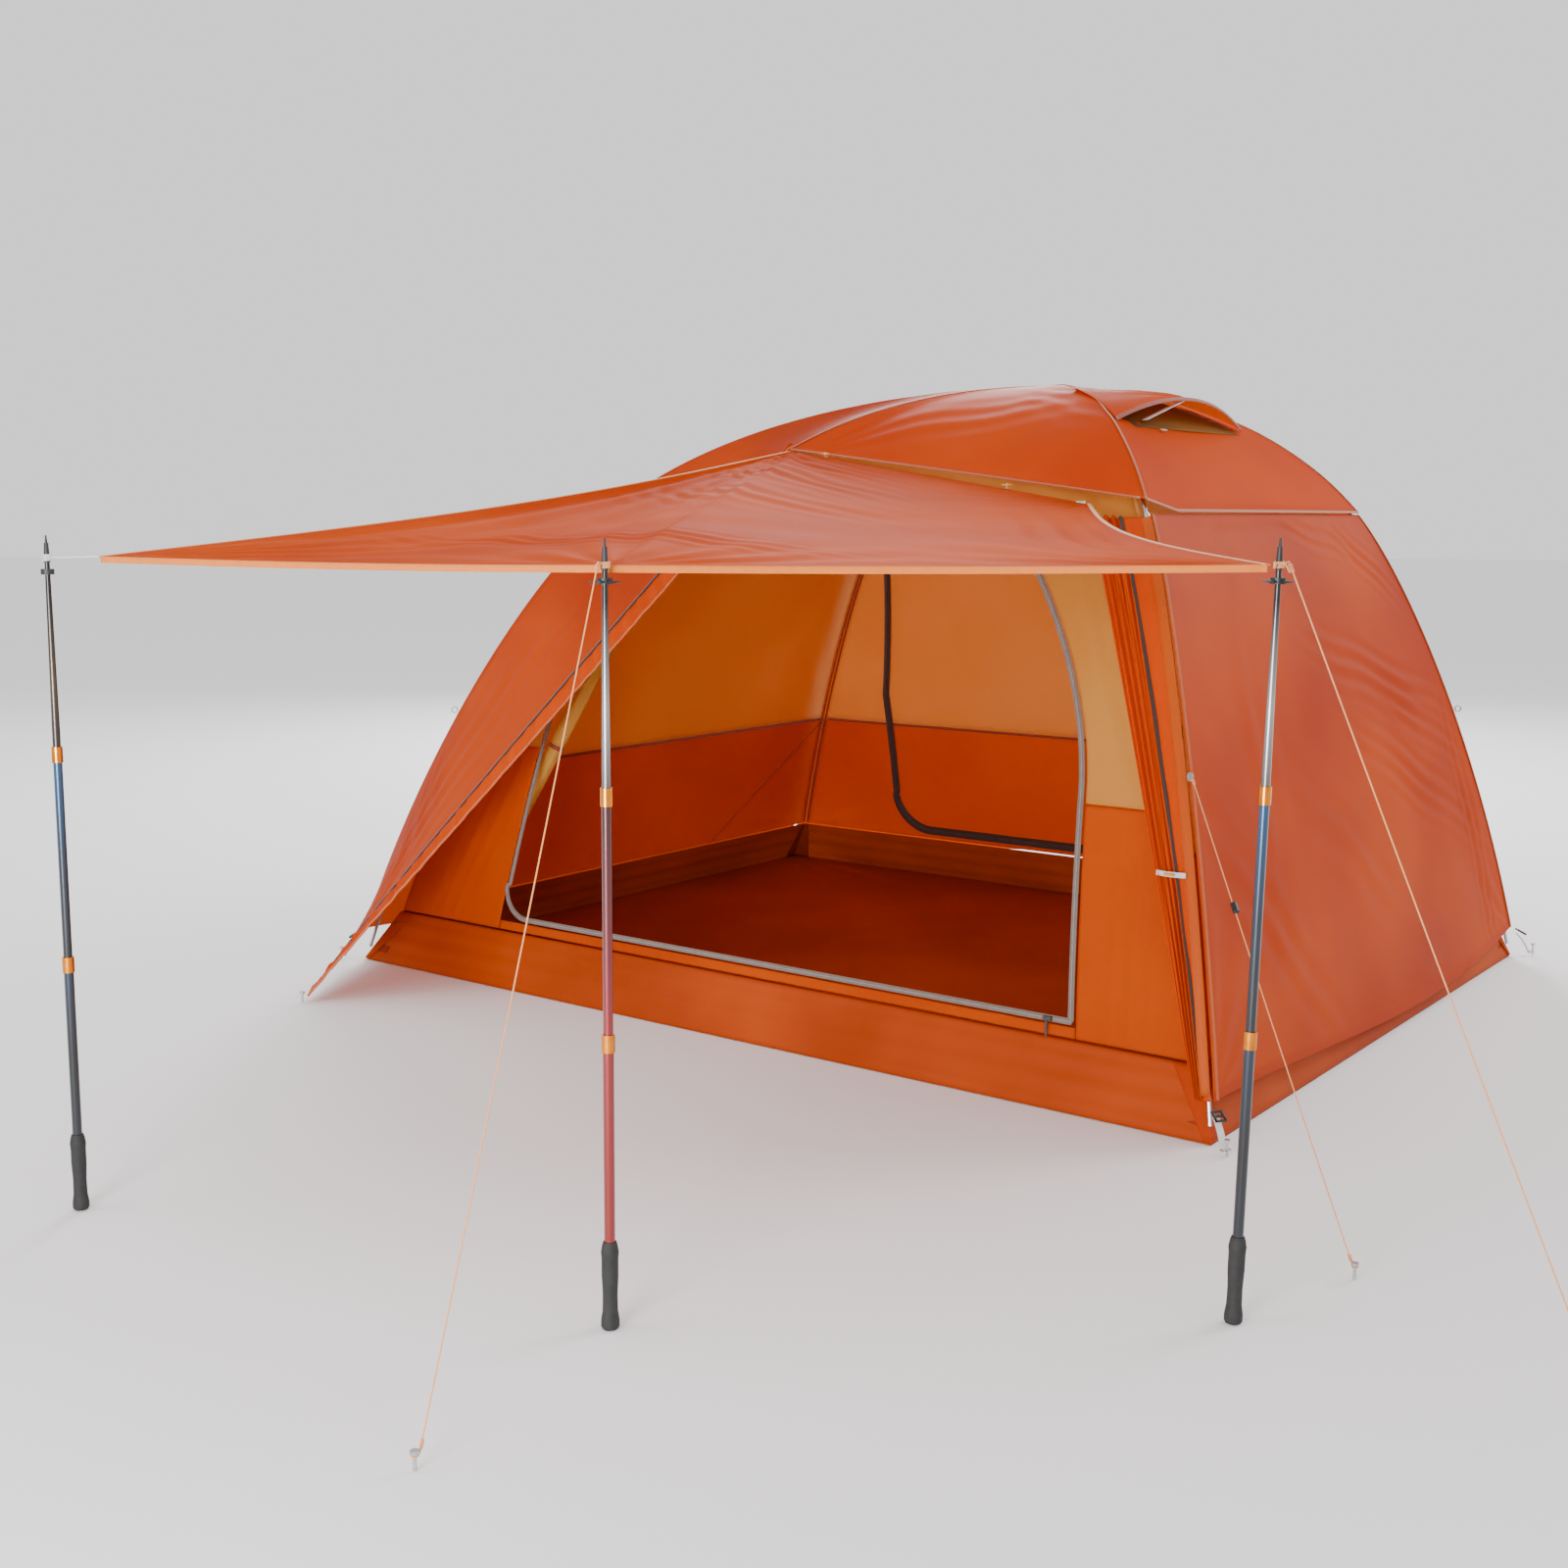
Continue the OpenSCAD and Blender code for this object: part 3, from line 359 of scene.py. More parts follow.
def gather_mesh(name, parts):
    """One object from several, their meshes added up."""
    whole = bmesh.new()
    for part in parts:
        whole.from_mesh(part.data)
        bpy.data.objects.remove(part)
    mesh = bpy.data.meshes.new(name)
    whole.to_mesh(mesh)
    whole.free()
    obj = bpy.data.objects.new(name, mesh)
    bpy.context.collection.objects.link(obj)
    return obj


guys, knots = {}, {}
for side, (high, low) in guy_runs.items():
    path = sagged(high, low, 0.006)
    cord = braided(f"guy_{side}", path, GUY_THICK)
    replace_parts(cord, f"guy_line_{side}")
    run = unit(low - high)
    foot = gather_mesh(f"guy_{side}_foot_knot", [
        braided("eye", round_stake(low, stake_top(side)), GUY_THICK, 8),
        braided("hitch", winding(low - run * 0.020, run, 0.0024, 6, 0.0022), 0.0018, 8)])
    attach(foot, HOME)
    head_parts = [braided("hitch", winding(high + run * 0.004, run, 0.0024, 6, 0.0022), 0.0018, 8)]
    if side == "corner":
        middle = loop_point(1)
        head_parts.append(braided("eye", straight(middle + [0.0, 0.0, -0.007], high, 6), GUY_THICK,
                                  8))
    else:
        axis = prop_point(side, TIE_HEIGHT)
        head_parts.append(braided("wraps",
                                  winding(axis - [0, 0, 0.004], (0, 0, 1), 0.0078, 4, 0.0026),
                                  GUY_THICK, 8))
        head_parts.append(braided("lead", straight(axis + 0.4 * (high - axis), high, 8), GUY_THICK,
                                  8))
    if side == "right":
        tail = axis + [0.006, -0.006, 0.002]
        head_parts.append(braided("tail", tail + straight((0, 0, 0), (0.022, -0.020, -0.012), 10)
                                  + np.sin(np.linspace(0, np.pi, 10))[:, None] * [0, 0, 0.006],
                                  GUY_THICK, 8))
    head = gather_mesh(f"guy_{side}_head_knot", head_parts)
    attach(head, HOME if side == "corner" else f"{side}_top")
    knots[side] = [foot, head]
    if side == "corner":
        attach(cord, HOME)
    else:
        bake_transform(cord)
    guys[side] = cord

# %% Corner cord of the awning
CORNER_CORD_THICK = 0.003
tie_left = prop_point("left", TIE_HEIGHT) + [0.092, 0.054, 0.004]
tie_centre = prop_point("centre", TIE_HEIGHT) + [-0.004, 0.020, 0]
tie_right = prop_point("right", TIE_HEIGHT) + [-0.026, 0.016, 0]
corner_end = prop_point("left", TIE_HEIGHT) + [0.007, 0.004, 0.002]
corner_path = straight(tie_left - [0.004, 0.002, 0], corner_end, 16)
corner_cord = braided("corner_cord", corner_path, CORNER_CORD_THICK)
left_axis = prop_point("left", TIE_HEIGHT)
corner_wraps = braided("corner_cord_wraps",
                       winding(left_axis - [0, 0, 0.004], (0, 0, 1), 0.0080, 4, 0.0031),
                       CORNER_CORD_THICK, 8)
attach(corner_wraps, "left_top")
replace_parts(corner_cord, "awning_corner_cord")
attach(corner_cord, "left_top")

# %% [markdown]
# ## Finishes: small node helpers
#
# A finish is a few named layers: a pattern at the size of the real weave, a
# slow change of tone over the panel, and a bump that both share.  The helpers
# below add one node each and join it up, so that a finish reads like a recipe.


# %% Node helpers
class Finish:
    """A material under construction, with short names for common nodes."""

    def __init__(self, name):
        self.mat = bpy.data.materials.new(name)
        self.mat.use_nodes = True
        self.nodes = self.mat.node_tree.nodes
        self.links = self.mat.node_tree.links
        self.nodes.clear()
        self.out = self.nodes.new("ShaderNodeOutputMaterial")

    def add(self, kind, inputs=None, **settings):
        """A node with its settings, and its inputs linked or set."""
        node = self.nodes.new(kind)
        for key, value in settings.items():
            setattr(node, key, value)
        for key, value in (inputs or {}).items():
            if isinstance(value, bpy.types.NodeSocket):
                self.links.new(value, node.inputs[key])
            else:
                node.inputs[key].default_value = value
        return node

    def math(self, operation, a, b=0.0, clamp=False):
        """One step of arithmetic on two values or sockets."""
        node = self.add("ShaderNodeMath", {0: a, 1: b}, operation=operation)
        node.use_clamp = clamp
        return node.outputs[0]

    def place(self, kind="Object"):
        """Object coordinates, or the piece's own cloth UV in metres."""
        if kind == "Object":
            return self.add("ShaderNodeTexCoord").outputs["Object"]
        return self.add("ShaderNodeUVMap", uv_map="cloth").outputs[0]

    def noise(self, where, scale, detail=3.0, stretch=None):
        """Soft noise with a feature size of about one over the scale, in metres."""
        if stretch is not None:
            where = self.add("ShaderNodeMapping", {"Vector": where, "Scale": stretch}).outputs[0]
        node = self.add("ShaderNodeTexNoise", {"Vector": where, "Scale": scale, "Detail": detail})
        return node.outputs[0]

    def tone(self, value, low, high, dark, light):
        """Colour ramp from dark at low to light at high."""
        ramp = self.add("ShaderNodeValToRGB", {"Fac": value})
        ends = ramp.color_ramp.elements
        ends[0].position, ends[1].position = low, high
        ends[0].color, ends[1].color = (*dark, 1), (*light, 1)
        return ramp.outputs["Color"]

    def blend_colour(self, share, a, b, mode="MIX"):
        """Two colours mixed by a share."""
        node = self.add("ShaderNodeMix", data_type="RGBA", blend_type=mode)
        for key, value in ((0, share), (6, a), (7, b)):
            if isinstance(value, bpy.types.NodeSocket):
                self.links.new(value, node.inputs[key])
            else:
                node.inputs[key].default_value = value if key == 0 else (*value, 1)
        return node.outputs[2]

    def attribute(self, name):
        """A number stored on the mesh's points."""
        return self.add("ShaderNodeAttribute", attribute_name=name).outputs["Fac"]

    def bump(self, height, distance, strength=1.0, under=None):
        """Relief of a height pattern, in metres."""
        inputs = {"Height": height, "Distance": distance, "Strength": strength}
        if under is not None:
            inputs["Normal"] = under
        return self.add("ShaderNodeBump", inputs).outputs[0]

    def principled(self, **inputs):
        """The main shader, its inputs named with underscores for spaces."""
        keyed = {key.replace("_", " "): value for key, value in inputs.items()}
        return self.add("ShaderNodeBsdfPrincipled", keyed)

    def finish(self, shader):
        """Join the last shader to the output and return the material."""
        self.links.new(shader, self.out.inputs["Surface"])
        return self.mat


def rows_of(f, along, pitch, width):
    """1 on thin lines that repeat every pitch metres along a coordinate."""
    step = f.math("FRACT", f.math("DIVIDE", along, pitch))
    return f.math("LESS_THAN", f.math("ABSOLUTE", f.math("SUBTRACT", step, 0.5)), width / 2 / pitch)


# %% [markdown]
# ### Coated ripstop cloth
#
# Fly cloth is thin nylon with a grid of stronger threads every few millimetres
# and a silicone coat.  Its one orange is painted in two copies: a lighter lit copy
# for the roof, and a darker, slightly bluer salmon copy for the ends, wing and
# back vestibule.  The salmon copy is painted shade with a painted sheen of the sky
# at a low angle.  Light also comes through, so the shader is mixed with a
# translucent one.

# %% Cloth finishes
RIPSTOP_PITCH = 0.006
RIPSTOP_THREAD = 0.0009


def ripstop(name, colour, deep, glow, through=0.35, rough=0.48, coat=0.02, sheen=0.10,
            pitch=RIPSTOP_PITCH, gloss=0.16):
    """Coated nylon: thread grid, slow tone change, soft coat and light through it."""
    f = Finish(name)
    uv = f.add("ShaderNodeSeparateXYZ", {"Vector": f.place("cloth")})
    threads = f.math("MAXIMUM", rows_of(f, uv.outputs[0], pitch, RIPSTOP_THREAD),
                     rows_of(f, uv.outputs[1], pitch, RIPSTOP_THREAD))
    slow = f.noise(f.place(), 1.7, 3.0)
    fine = f.noise(f.place("cloth"), 900.0, 2.0)
    base = f.tone(slow, 0.36, 0.64, deep, colour)
    base = f.blend_colour(f.math("MULTIPLY", threads, 0.10), base, deep)
    seam = f.attribute("seam")
    base = f.blend_colour(f.math("MULTIPLY", seam, 0.55), base, deep)
    relief = f.bump(threads, 0.00012, 0.5, f.bump(fine, 0.00010, 0.3))
    rough_map = f.math("ADD", f.math("MULTIPLY", slow, 0.10), rough - 0.05)
    front = f.principled(Base_Color=base, Roughness=rough_map, Normal=relief,
                         Sheen_Weight=sheen, Sheen_Roughness=0.4, Coat_Weight=coat,
                         Coat_Roughness=0.38, Specular_IOR_Level=gloss)
    front.inputs["Sheen Tint"].default_value = (1.0, 0.55, 0.38, 1)
    behind = f.add("ShaderNodeBsdfTranslucent", {"Color": (*glow, 1), "Normal": relief})
    mixed = f.add("ShaderNodeMixShader", {0: through, 1: front.outputs[0], 2: behind.outputs[0]})
    return f.finish(mixed.outputs[0])


# The first two are one fly orange in two painted copies.  The salmon one is darker and a touch bluer.  It is painted
# shade with a painted sheen of the sky at a low angle, and it goes on the ends, wing, back vestibule and outer tub
# patches.  The next one is the lighter painted lit copy, for the roof, vent flap, storm flap, strip and gathers.
FLY_SHADE_SHEEN = ripstop("fly orange, painted shade and sheen", (0.56, 0.078, 0.005), (0.42, 0.038, 0.001), (1.0, 0.34, 0.02),
                     through=0.42, coat=0.0, sheen=0.09, gloss=0.10)
FLY_LIT = ripstop("fly orange, painted lit", (0.68, 0.092, 0.001), (0.58, 0.062, 0.001), (1.0, 0.36, 0.01),
                     through=0.46, coat=0.0, sheen=0.0, gloss=0.06)
# The awning takes the salmon copy's colours.  They are a painted sheen of the sky at a low angle, darker than the
# roof's lit orange.  Its low gloss and roughness belong to the cloth.
AWNING_PAINTED_SHEEN = ripstop("awning orange, painted sheen", (0.56, 0.078, 0.005), (0.44, 0.045, 0.002),
                       (1.0, 0.36, 0.02),
                       through=0.36, coat=0.0, sheen=0.04, gloss=0.02, rough=0.7)
WALL_CLOTH = ripstop("inner wall cloth", (0.62, 0.110, 0.003), (0.52, 0.075, 0.001),
                     (1.0, 0.46, 0.03),
                     through=0.52, rough=0.6, coat=0.0, sheen=0.0, gloss=0.05)
LIGHT_CLOTH = ripstop("light wall cloth", (0.82, 0.44, 0.110), (0.74, 0.36, 0.070),
                      (1.0, 0.95, 0.62),
                      through=0.68, rough=0.65, coat=0.0, sheen=0.0, gloss=0.05, pitch=0.004)
TUB_CLOTH = ripstop("tub cloth", (0.46, 0.062, 0.003), (0.34, 0.038, 0.001), (0.9, 0.30, 0.02),
                    through=0.16, rough=0.55, coat=0.0, sheen=0.04, gloss=0.12)
DARK_PATCH = ripstop("dark corner patch", (0.30, 0.030, 0.002), (0.22, 0.018, 0.001),
                     (0.5, 0.08, 0.01),
                     through=0.08, rough=0.6, coat=0.0, sheen=0.0)
FLOOR_CLOTH = ripstop("floor cloth", (0.44, 0.058, 0.002), (0.34, 0.036, 0.001), (0.8, 0.20, 0.01),
                      through=0.06, rough=0.5, coat=0.0, sheen=0.0, gloss=0.14)
SLEEVE_CLOTH = ripstop("leg sleeve cloth", (0.52, 0.085, 0.003), (0.42, 0.055, 0.002),
                       (0.9, 0.30, 0.02),
                       through=0.15, rough=0.5, coat=0.0, sheen=0.0)
# The net's dark tan, near black in its deep tone, is painted shade under the vent flap, laid over a real mesh.
NET_PAINTED_SHADE = ripstop("vent net, painted shade", (0.30, 0.13, 0.030), (0.06, 0.022, 0.005), (0.4, 0.2, 0.05),
                    through=0.30, rough=0.7, coat=0.0, sheen=0.0, gloss=0.05, pitch=0.0022)
print("cloths:", FLY_SHADE_SHEEN.name, "to", FLOOR_CLOTH.name)


# %% [markdown]
# ### Zips, webbing, cord and seam tape
#
# A zip is a woven tape with a row of nylon coils.  Webbing has a coarse
# diagonal weave, and guy line a fine braid with pale tracers.  All of them
# repeat along their length, so they read the length from their own UV.

# %% Trim finishes


def woven(name, colour, dark, pitch=0.0016, rough=0.75, sheen=0.3):
    """Coarse weave that runs along a tape: two crossing rows of threads."""
    f = Finish(name)
    uv = f.add("ShaderNodeSeparateXYZ", {"Vector": f.place("cloth")})
    run = f.math("MULTIPLY", uv.outputs[0], 2 * math.pi / pitch)
    over = f.math("MULTIPLY", uv.outputs[1], 2 * math.pi * 9)
    cross = f.math("MULTIPLY", f.math("SINE", run), f.math("SINE", over))
    lift = f.math("ADD", f.math("MULTIPLY", cross, 0.5), 0.5)
    wear = f.noise(f.place(), 60.0, 3.0)
    base = f.tone(f.math("ADD", f.math("MULTIPLY", lift, 0.6), f.math("MULTIPLY", wear, 0.4)),
                  0.2, 0.8, dark, colour)
    shader = f.principled(Base_Color=base, Roughness=rough, Sheen_Weight=sheen,
                          Normal=f.bump(lift, 0.0002, 0.6))
    return f.finish(shader.outputs[0])


WEBBING_WHITE = woven("pale webbing", (0.72, 0.71, 0.67), (0.36, 0.35, 0.32))
WEBBING_GREY = woven("grey webbing", (0.34, 0.33, 0.31), (0.12, 0.12, 0.11))
ZIP_TAPE = woven("grey zip tape", (0.20, 0.165, 0.14), (0.10, 0.08, 0.065), pitch=0.0012)
ZIP_BROWN = woven("brown zip tape", (0.040, 0.012, 0.006), (0.018, 0.006, 0.003), pitch=0.0012)
SEAM_TAPE = woven("seam binding", (0.60, 0.13, 0.012), (0.40, 0.06, 0.004), pitch=0.0030)
SEAM_DARK = woven("felled seam", (0.46, 0.085, 0.006), (0.30, 0.045, 0.003), pitch=0.0030)
ZIP_COIL = woven("grey zip coil", (0.34, 0.30, 0.27), (0.16, 0.14, 0.125), pitch=0.0012, sheen=0.0)
DARK_BINDING = woven("dark binding", (0.30, 0.035, 0.004), (0.16, 0.015, 0.002), pitch=0.0030)
HEM_BRIGHT = woven("hem binding", (0.74, 0.20, 0.008), (0.56, 0.12, 0.003), pitch=0.0030)


def braid(name, colour, tracer, dark, thick):
    """Round braid: two sets of strands wind opposite ways round the cord."""
    f = Finish(name)
    uv = f.add("ShaderNodeSeparateXYZ", {"Vector": f.place("cloth")})
    run = f.math("MULTIPLY", uv.outputs[0], 2 * math.pi / (thick * 2.2))
    turn = f.math("MULTIPLY", uv.outputs[1], 2 * math.pi * 4)
    left = f.math("SINE", f.math("ADD", run, turn))
    right = f.math("SINE", f.math("SUBTRACT", run, turn))
    lift = f.math("ADD", f.math("MULTIPLY", f.math("MAXIMUM", left, right), 0.5), 0.5)
    base = f.tone(lift, 0.35, 0.85, dark, colour)
    base = f.blend_colour(f.math("GREATER_THAN", left, 0.86), base, tracer)
    shader = f.principled(Base_Color=base, Roughness=0.6, Sheen_Weight=0.3,
                          Normal=f.bump(lift, thick * 0.08, 0.7))
    return f.finish(shader.outputs[0])


GUY_CORD = braid("orange guy line", (0.85, 0.27, 0.03), (0.90, 0.62, 0.35), (0.50, 0.12, 0.01),
                 GUY_THICK)
RED_CORD = braid("dark red cord", (0.22, 0.018, 0.006), (0.30, 0.05, 0.02), (0.09, 0.006, 0.002),
                 0.003)
PALE_CORD = braid("pale cord", (0.80, 0.79, 0.76), (0.62, 0.60, 0.55), (0.42, 0.40, 0.38), 0.003)
for side, cord in guys.items():
    for piece in (cord, *knots[side]):
        piece.data.materials.append(GUY_CORD)
for piece in (corner_cord, corner_wraps):
    piece.data.materials.append(PALE_CORD)
print("trim finishes ready")

# %% [markdown]
# ### Metal, moulded plastic, foam and lacquered shafts
#
# The frame and the trekking poles are drawn alloy tube, so their fine scratches
# run along the tube.  Collars are bright anodised rings, and shafts fade from a
# colour into black lacquer.  Small fittings are moulded nylon with a faint grain.

# %% Hard finishes


def drawn_metal(name, colour, dark, rough=0.28, metal=1.0):
    """Alloy tube: long faint scratches and a mottled oxide film."""
    f = Finish(name)
    scratch = f.noise(f.place(), 900.0, 2.0, stretch=(1.0, 1.0, 0.02))
    film = f.noise(f.place(), 35.0, 4.0)
    base = f.tone(film, 0.3, 0.75, dark, colour)
    rough_map = f.math("ADD", f.math("MULTIPLY", scratch, 0.16), rough - 0.08)
    shader = f.principled(Base_Color=base, Metallic=metal, Roughness=rough_map,
                          Normal=f.bump(scratch, 0.00004, 0.4))
    return f.finish(shader.outputs[0])


def moulded(name, colour, dark, rough=0.45):
    """Moulded nylon: faint grain with paler rubbed patches."""
    f = Finish(name)
    grain = f.noise(f.place(), 1400.0, 3.0)
    rub = f.noise(f.place(), 70.0, 3.0)
    base = f.tone(rub, 0.35, 0.8, dark, colour)
    shader = f.principled(Base_Color=base,
                          Roughness=f.math("ADD", f.math("MULTIPLY", rub, 0.2), rough - 0.1),
                          Normal=f.bump(grain, 0.00008, 0.5))
    return f.finish(shader.outputs[0])


def faded_shaft(name, bottom, middle, top, low, high, centre_colour=None, metal=0.55):
    """Lacquered tube that fades through three colours between two heights.

    With a centre colour, the tube that stands between x 0.5 and 1.4 takes that one."""
    f = Finish(name)
    place = f.add("ShaderNodeSeparateXYZ", {"Vector": f.place()})
    height = place.outputs[2]
    share = f.math("DIVIDE", f.math("SUBTRACT", height, low), high - low, clamp=True)
    ramp = f.add("ShaderNodeValToRGB", {"Fac": share})
    ends = ramp.color_ramp.elements
    ends[0].position, ends[0].color = 0.0, (*bottom, 1)
    ends[1].position, ends[1].color = 1.0, (*top, 1)
    mid = ends.new(0.5)
    mid.color = (*middle, 1)
    flake = f.noise(f.place(), 2500.0, 1.0)
    colour = ramp.outputs["Color"]
    if centre_colour:
        middle_one = f.math("MULTIPLY", f.math("GREATER_THAN", place.outputs[0], 0.5),
                            f.math("LESS_THAN", place.outputs[0], 1.4))
        colour = f.blend_colour(middle_one, colour, centre_colour)
    base = f.blend_colour(f.math("MULTIPLY", flake, 0.06), colour, (0.3, 0.3, 0.3))
    scuff = f.noise(f.place(), 120.0, 4.0, stretch=(1.0, 1.0, 0.15))
    shader = f.principled(Base_Color=base, Metallic=metal, Coat_Weight=0.6, Coat_Roughness=0.12,
                          Roughness=f.math("ADD", f.math("MULTIPLY", scuff, 0.2), 0.22),
                          Normal=f.bump(scuff, 0.00003, 0.3))
    return f.finish(shader.outputs[0])


ALLOY = drawn_metal("frame alloy", (0.50, 0.50, 0.51), (0.34, 0.34, 0.36))
SILVER_SHAFT = faded_shaft("silver shaft", (0.060, 0.052, 0.048), (0.36, 0.34, 0.33),
                           (0.012, 0.012, 0.013), 0.86, 1.20, metal=0.9)
BRONZE_SHAFT = faded_shaft("bronze shaft", (0.014, 0.013, 0.013), (0.085, 0.060, 0.042),
                           (0.012, 0.012, 0.013), 0.86, 1.20, metal=0.9)
STAKE_ALLOY = drawn_metal("stake alloy", (0.62, 0.62, 0.63), (0.40, 0.40, 0.42), rough=0.35)
GOLD_RING = drawn_metal("orange anodised ring", (0.85, 0.30, 0.03), (0.60, 0.17, 0.01), rough=0.22)
BLACK_NYLON = moulded("black nylon", (0.020, 0.020, 0.022), (0.008, 0.008, 0.009))
AMBER_NYLON = moulded("amber toggle", (0.86, 0.34, 0.03), (0.62, 0.20, 0.01), rough=0.35)
PALE_NYLON = moulded("pale fitting", (0.78, 0.76, 0.72), (0.55, 0.53, 0.50), rough=0.4)
GRIP_FOAM = moulded("black grip foam", (0.022, 0.021, 0.021), (0.009, 0.009, 0.009), rough=0.75)
BLUE_SHAFT = faded_shaft("blue shaft", (0.006, 0.006, 0.008), (0.007, 0.016, 0.034),
                         (0.008, 0.060, 0.150), 0.50, 0.88)
RED_SHAFT = faded_shaft("red shaft", (0.24, 0.006, 0.010), (0.11, 0.004, 0.007),
                        (0.050, 0.003, 0.005), 0.50, 0.88)
UPPER_SHAFTS = faded_shaft("upper shafts", (0.006, 0.010, 0.018), (0.006, 0.006, 0.008),
                           (0.007, 0.018, 0.040), 0.14, 0.48, centre_colour=(0.24, 0.008, 0.008))
DARK_METAL = drawn_metal("dark slider metal", (0.16, 0.155, 0.15), (0.07, 0.068, 0.065), rough=0.35)

# %% Finishes of the ready-made parts
NODE_FINISH = {
    "door_slider": DARK_METAL, "back_slider": DARK_METAL, "pole_hub": BLACK_NYLON,
    "front_legs": ALLOY, "back_legs": ALLOY, "roof_cross_pole": ALLOY, "pole_sleeves": ALLOY,
    "pole_clips": BLACK_NYLON, "corner_pins": STAKE_ALLOY, "fly_stakes": STAKE_ALLOY,
    "guy_stakes": STAKE_ALLOY, "vent_prop": PALE_NYLON, "corner_line_lock": BLACK_NYLON,
    "prop_grips": GRIP_FOAM, "prop_upper_shafts": UPPER_SHAFTS, "prop_upper_collars": GOLD_RING,
    "left_middle_shaft": BLUE_SHAFT, "centre_middle_shaft": RED_SHAFT,
    "right_middle_shaft": BLUE_SHAFT,
    "left_lower_shaft": BRONZE_SHAFT, "centre_lower_shaft": SILVER_SHAFT,
    "right_lower_shaft": SILVER_SHAFT,
}
for side in ("left", "centre", "right"):
    NODE_FINISH.update({f"{side}_middle_collar": GOLD_RING, f"{side}_basket": BLACK_NYLON,
                        f"{side}_tip": BLACK_NYLON})
for node, finish in NODE_FINISH.items():
    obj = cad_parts[node]
    obj.data.materials.clear()
    obj.data.materials.append(finish)
print(len(NODE_FINISH), "ready-made parts finished; all finishes ready")

# %% [markdown]
# ## Cloth
#
# A panel starts as a smooth surface between its seams.  Real cloth adds three
# things to that: a slight dish between the poles, packets of folds where the
# pull is one way only, and a fine unrest everywhere.  Each is a height along the
# surface's normal, so they are added up and applied once.  The panel then gets
# its thickness, an inner face and a rim.

# %% Reliefs of a panel
CLOTH_THICK = 0.0008


def ease(t):
    """Smooth step from 0 to 1."""
    t = np.clip(t, 0, 1)
    return t * t * (3 - 2 * t)


def inside(grid, margin=0.07):
    """0 on the edges of a grid and 1 a little way in from them."""
    i, j = (np.linspace(0, 1, k) for k in grid.shape[:2])
    down, along = (ease(np.minimum(t, 1 - t) / margin) for t in (i, j))
    return down[:, None] * along[None, :]


def place_on(grid, centre, along):
    """Distances along and across a direction in the cloth, from a centre."""
    offset = grid - np.asarray(centre, float)
    near = np.unravel_index(np.argmin((offset**2).sum(-1)), grid.shape[:2])
    along = unit(along)
    across = unit(np.cross(grid_normals(grid)[near], along))
    return offset @ along, offset @ across


def packet(grid, centre, along, spacing, height, long, wide, phase=0.0):
    """Parallel folds: height * cos(2 pi b / spacing) under a bell, b across the folds.

    The fold lines bend a little, as a hand-drawn line would."""
    a, b = place_on(grid, centre, along)
    bend = b + 0.12 * spacing * np.sin(2 * np.pi * a / (long * 1.3) + phase)
    bell = np.exp(-((a / long) ** 2) - (b / wide) ** 2)
    return height * np.cos(2 * np.pi * bend / spacing + phase) * bell


def fan(grid, corner, along, count, height, reach, phase=0.0):
    """Creases that spread from a corner and fade: height * cos(count * angle)."""
    a, b = place_on(grid, corner, along)
    far = np.hypot(a, b)
    fade = (far / (far + 0.05)) * np.exp(-((far / reach) ** 1.5))
    return height * np.cos(count * np.arctan2(b, a) + phase) * fade


def crumple(grid, size, height, seed, waves=14):
    """Mean of gentle waves about size long, in seeded directions."""
    rng = np.random.default_rng(seed)
    turn = unit(rng.normal(size=(waves, 3))) * (2 * np.pi / size) * rng.uniform(0.6, 1.6, (waves, 1))
    return 2 * height * np.sin(grid @ turn.T + rng.uniform(0, 2 * np.pi, waves)).mean(-1)


def lifted(grid, height):
    """A grid moved along its own normals."""
    return grid + grid_normals(grid) * np.asarray(height)[..., None]


# %% Panel to mesh
def boundary(quads):
    """Directed edges that only one quad uses."""
    edges = np.concatenate([quads[:, [k, (k + 1) % 4]] for k in range(4)])
    size = edges.max() + 1
    return edges[~np.isin(edges[:, 1] * size + edges[:, 0], edges[:, 0] * size + edges[:, 1])]


def shell(name, grid, finish, thick=CLOTH_THICK, keep=None, seam=None):
    """A closed cloth skin: the outer face, one thick below it, and the rim between."""
    n, m = grid.shape[:2]
    quads = grid_faces(n, m)
    if keep is not None:
        quads = quads[keep.ravel()]
    a, b = boundary(quads).T
    rim_quads = np.stack([b, a, a + n * m, b + n * m], -1)
    faces = np.concatenate([quads, quads[:, ::-1] + n * m, rim_quads])
    verts = np.concatenate([grid, grid - thick * grid_normals(grid)]).reshape(-1, 3)
    plane = np.stack([run_length(grid, 1), run_length(grid, 0)], -1).reshape(-1, 2)
    dark = np.zeros(n * m) if seam is None else np.broadcast_to(seam, (n, m)).ravel()
    used, index = np.unique(faces, return_inverse=True)
    obj = mesh_from_arrays(name, verts[used], index.reshape(-1, 4), np.tile(plane, (2, 1))[used],
                           attributes={"seam": np.tile(dark, 2)[used]})
    obj.data.materials.append(finish)
    return obj


def near_edges(n, m, top=0.0, bottom=0.0, left=0.0, right=0.0):
    """1 on the rows and columns close to a grid's edges, where cloth is doubled."""
    i, j = np.linspace(0, 1, n)[:, None], np.linspace(0, 1, m)[None, :]
    return np.maximum.reduce(np.broadcast_arrays(i < top, i > 1 - bottom, j < left, j > 1 - right)).astype(float)


def tape(name, path, width, thick, finish, up, body=HOME):
    """A flat strip of binding along a path, face up."""
    obj = carry(name, path, tape_outline(width, thick), up)
    obj.data.materials.append(finish)
    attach(obj, body)
    return obj


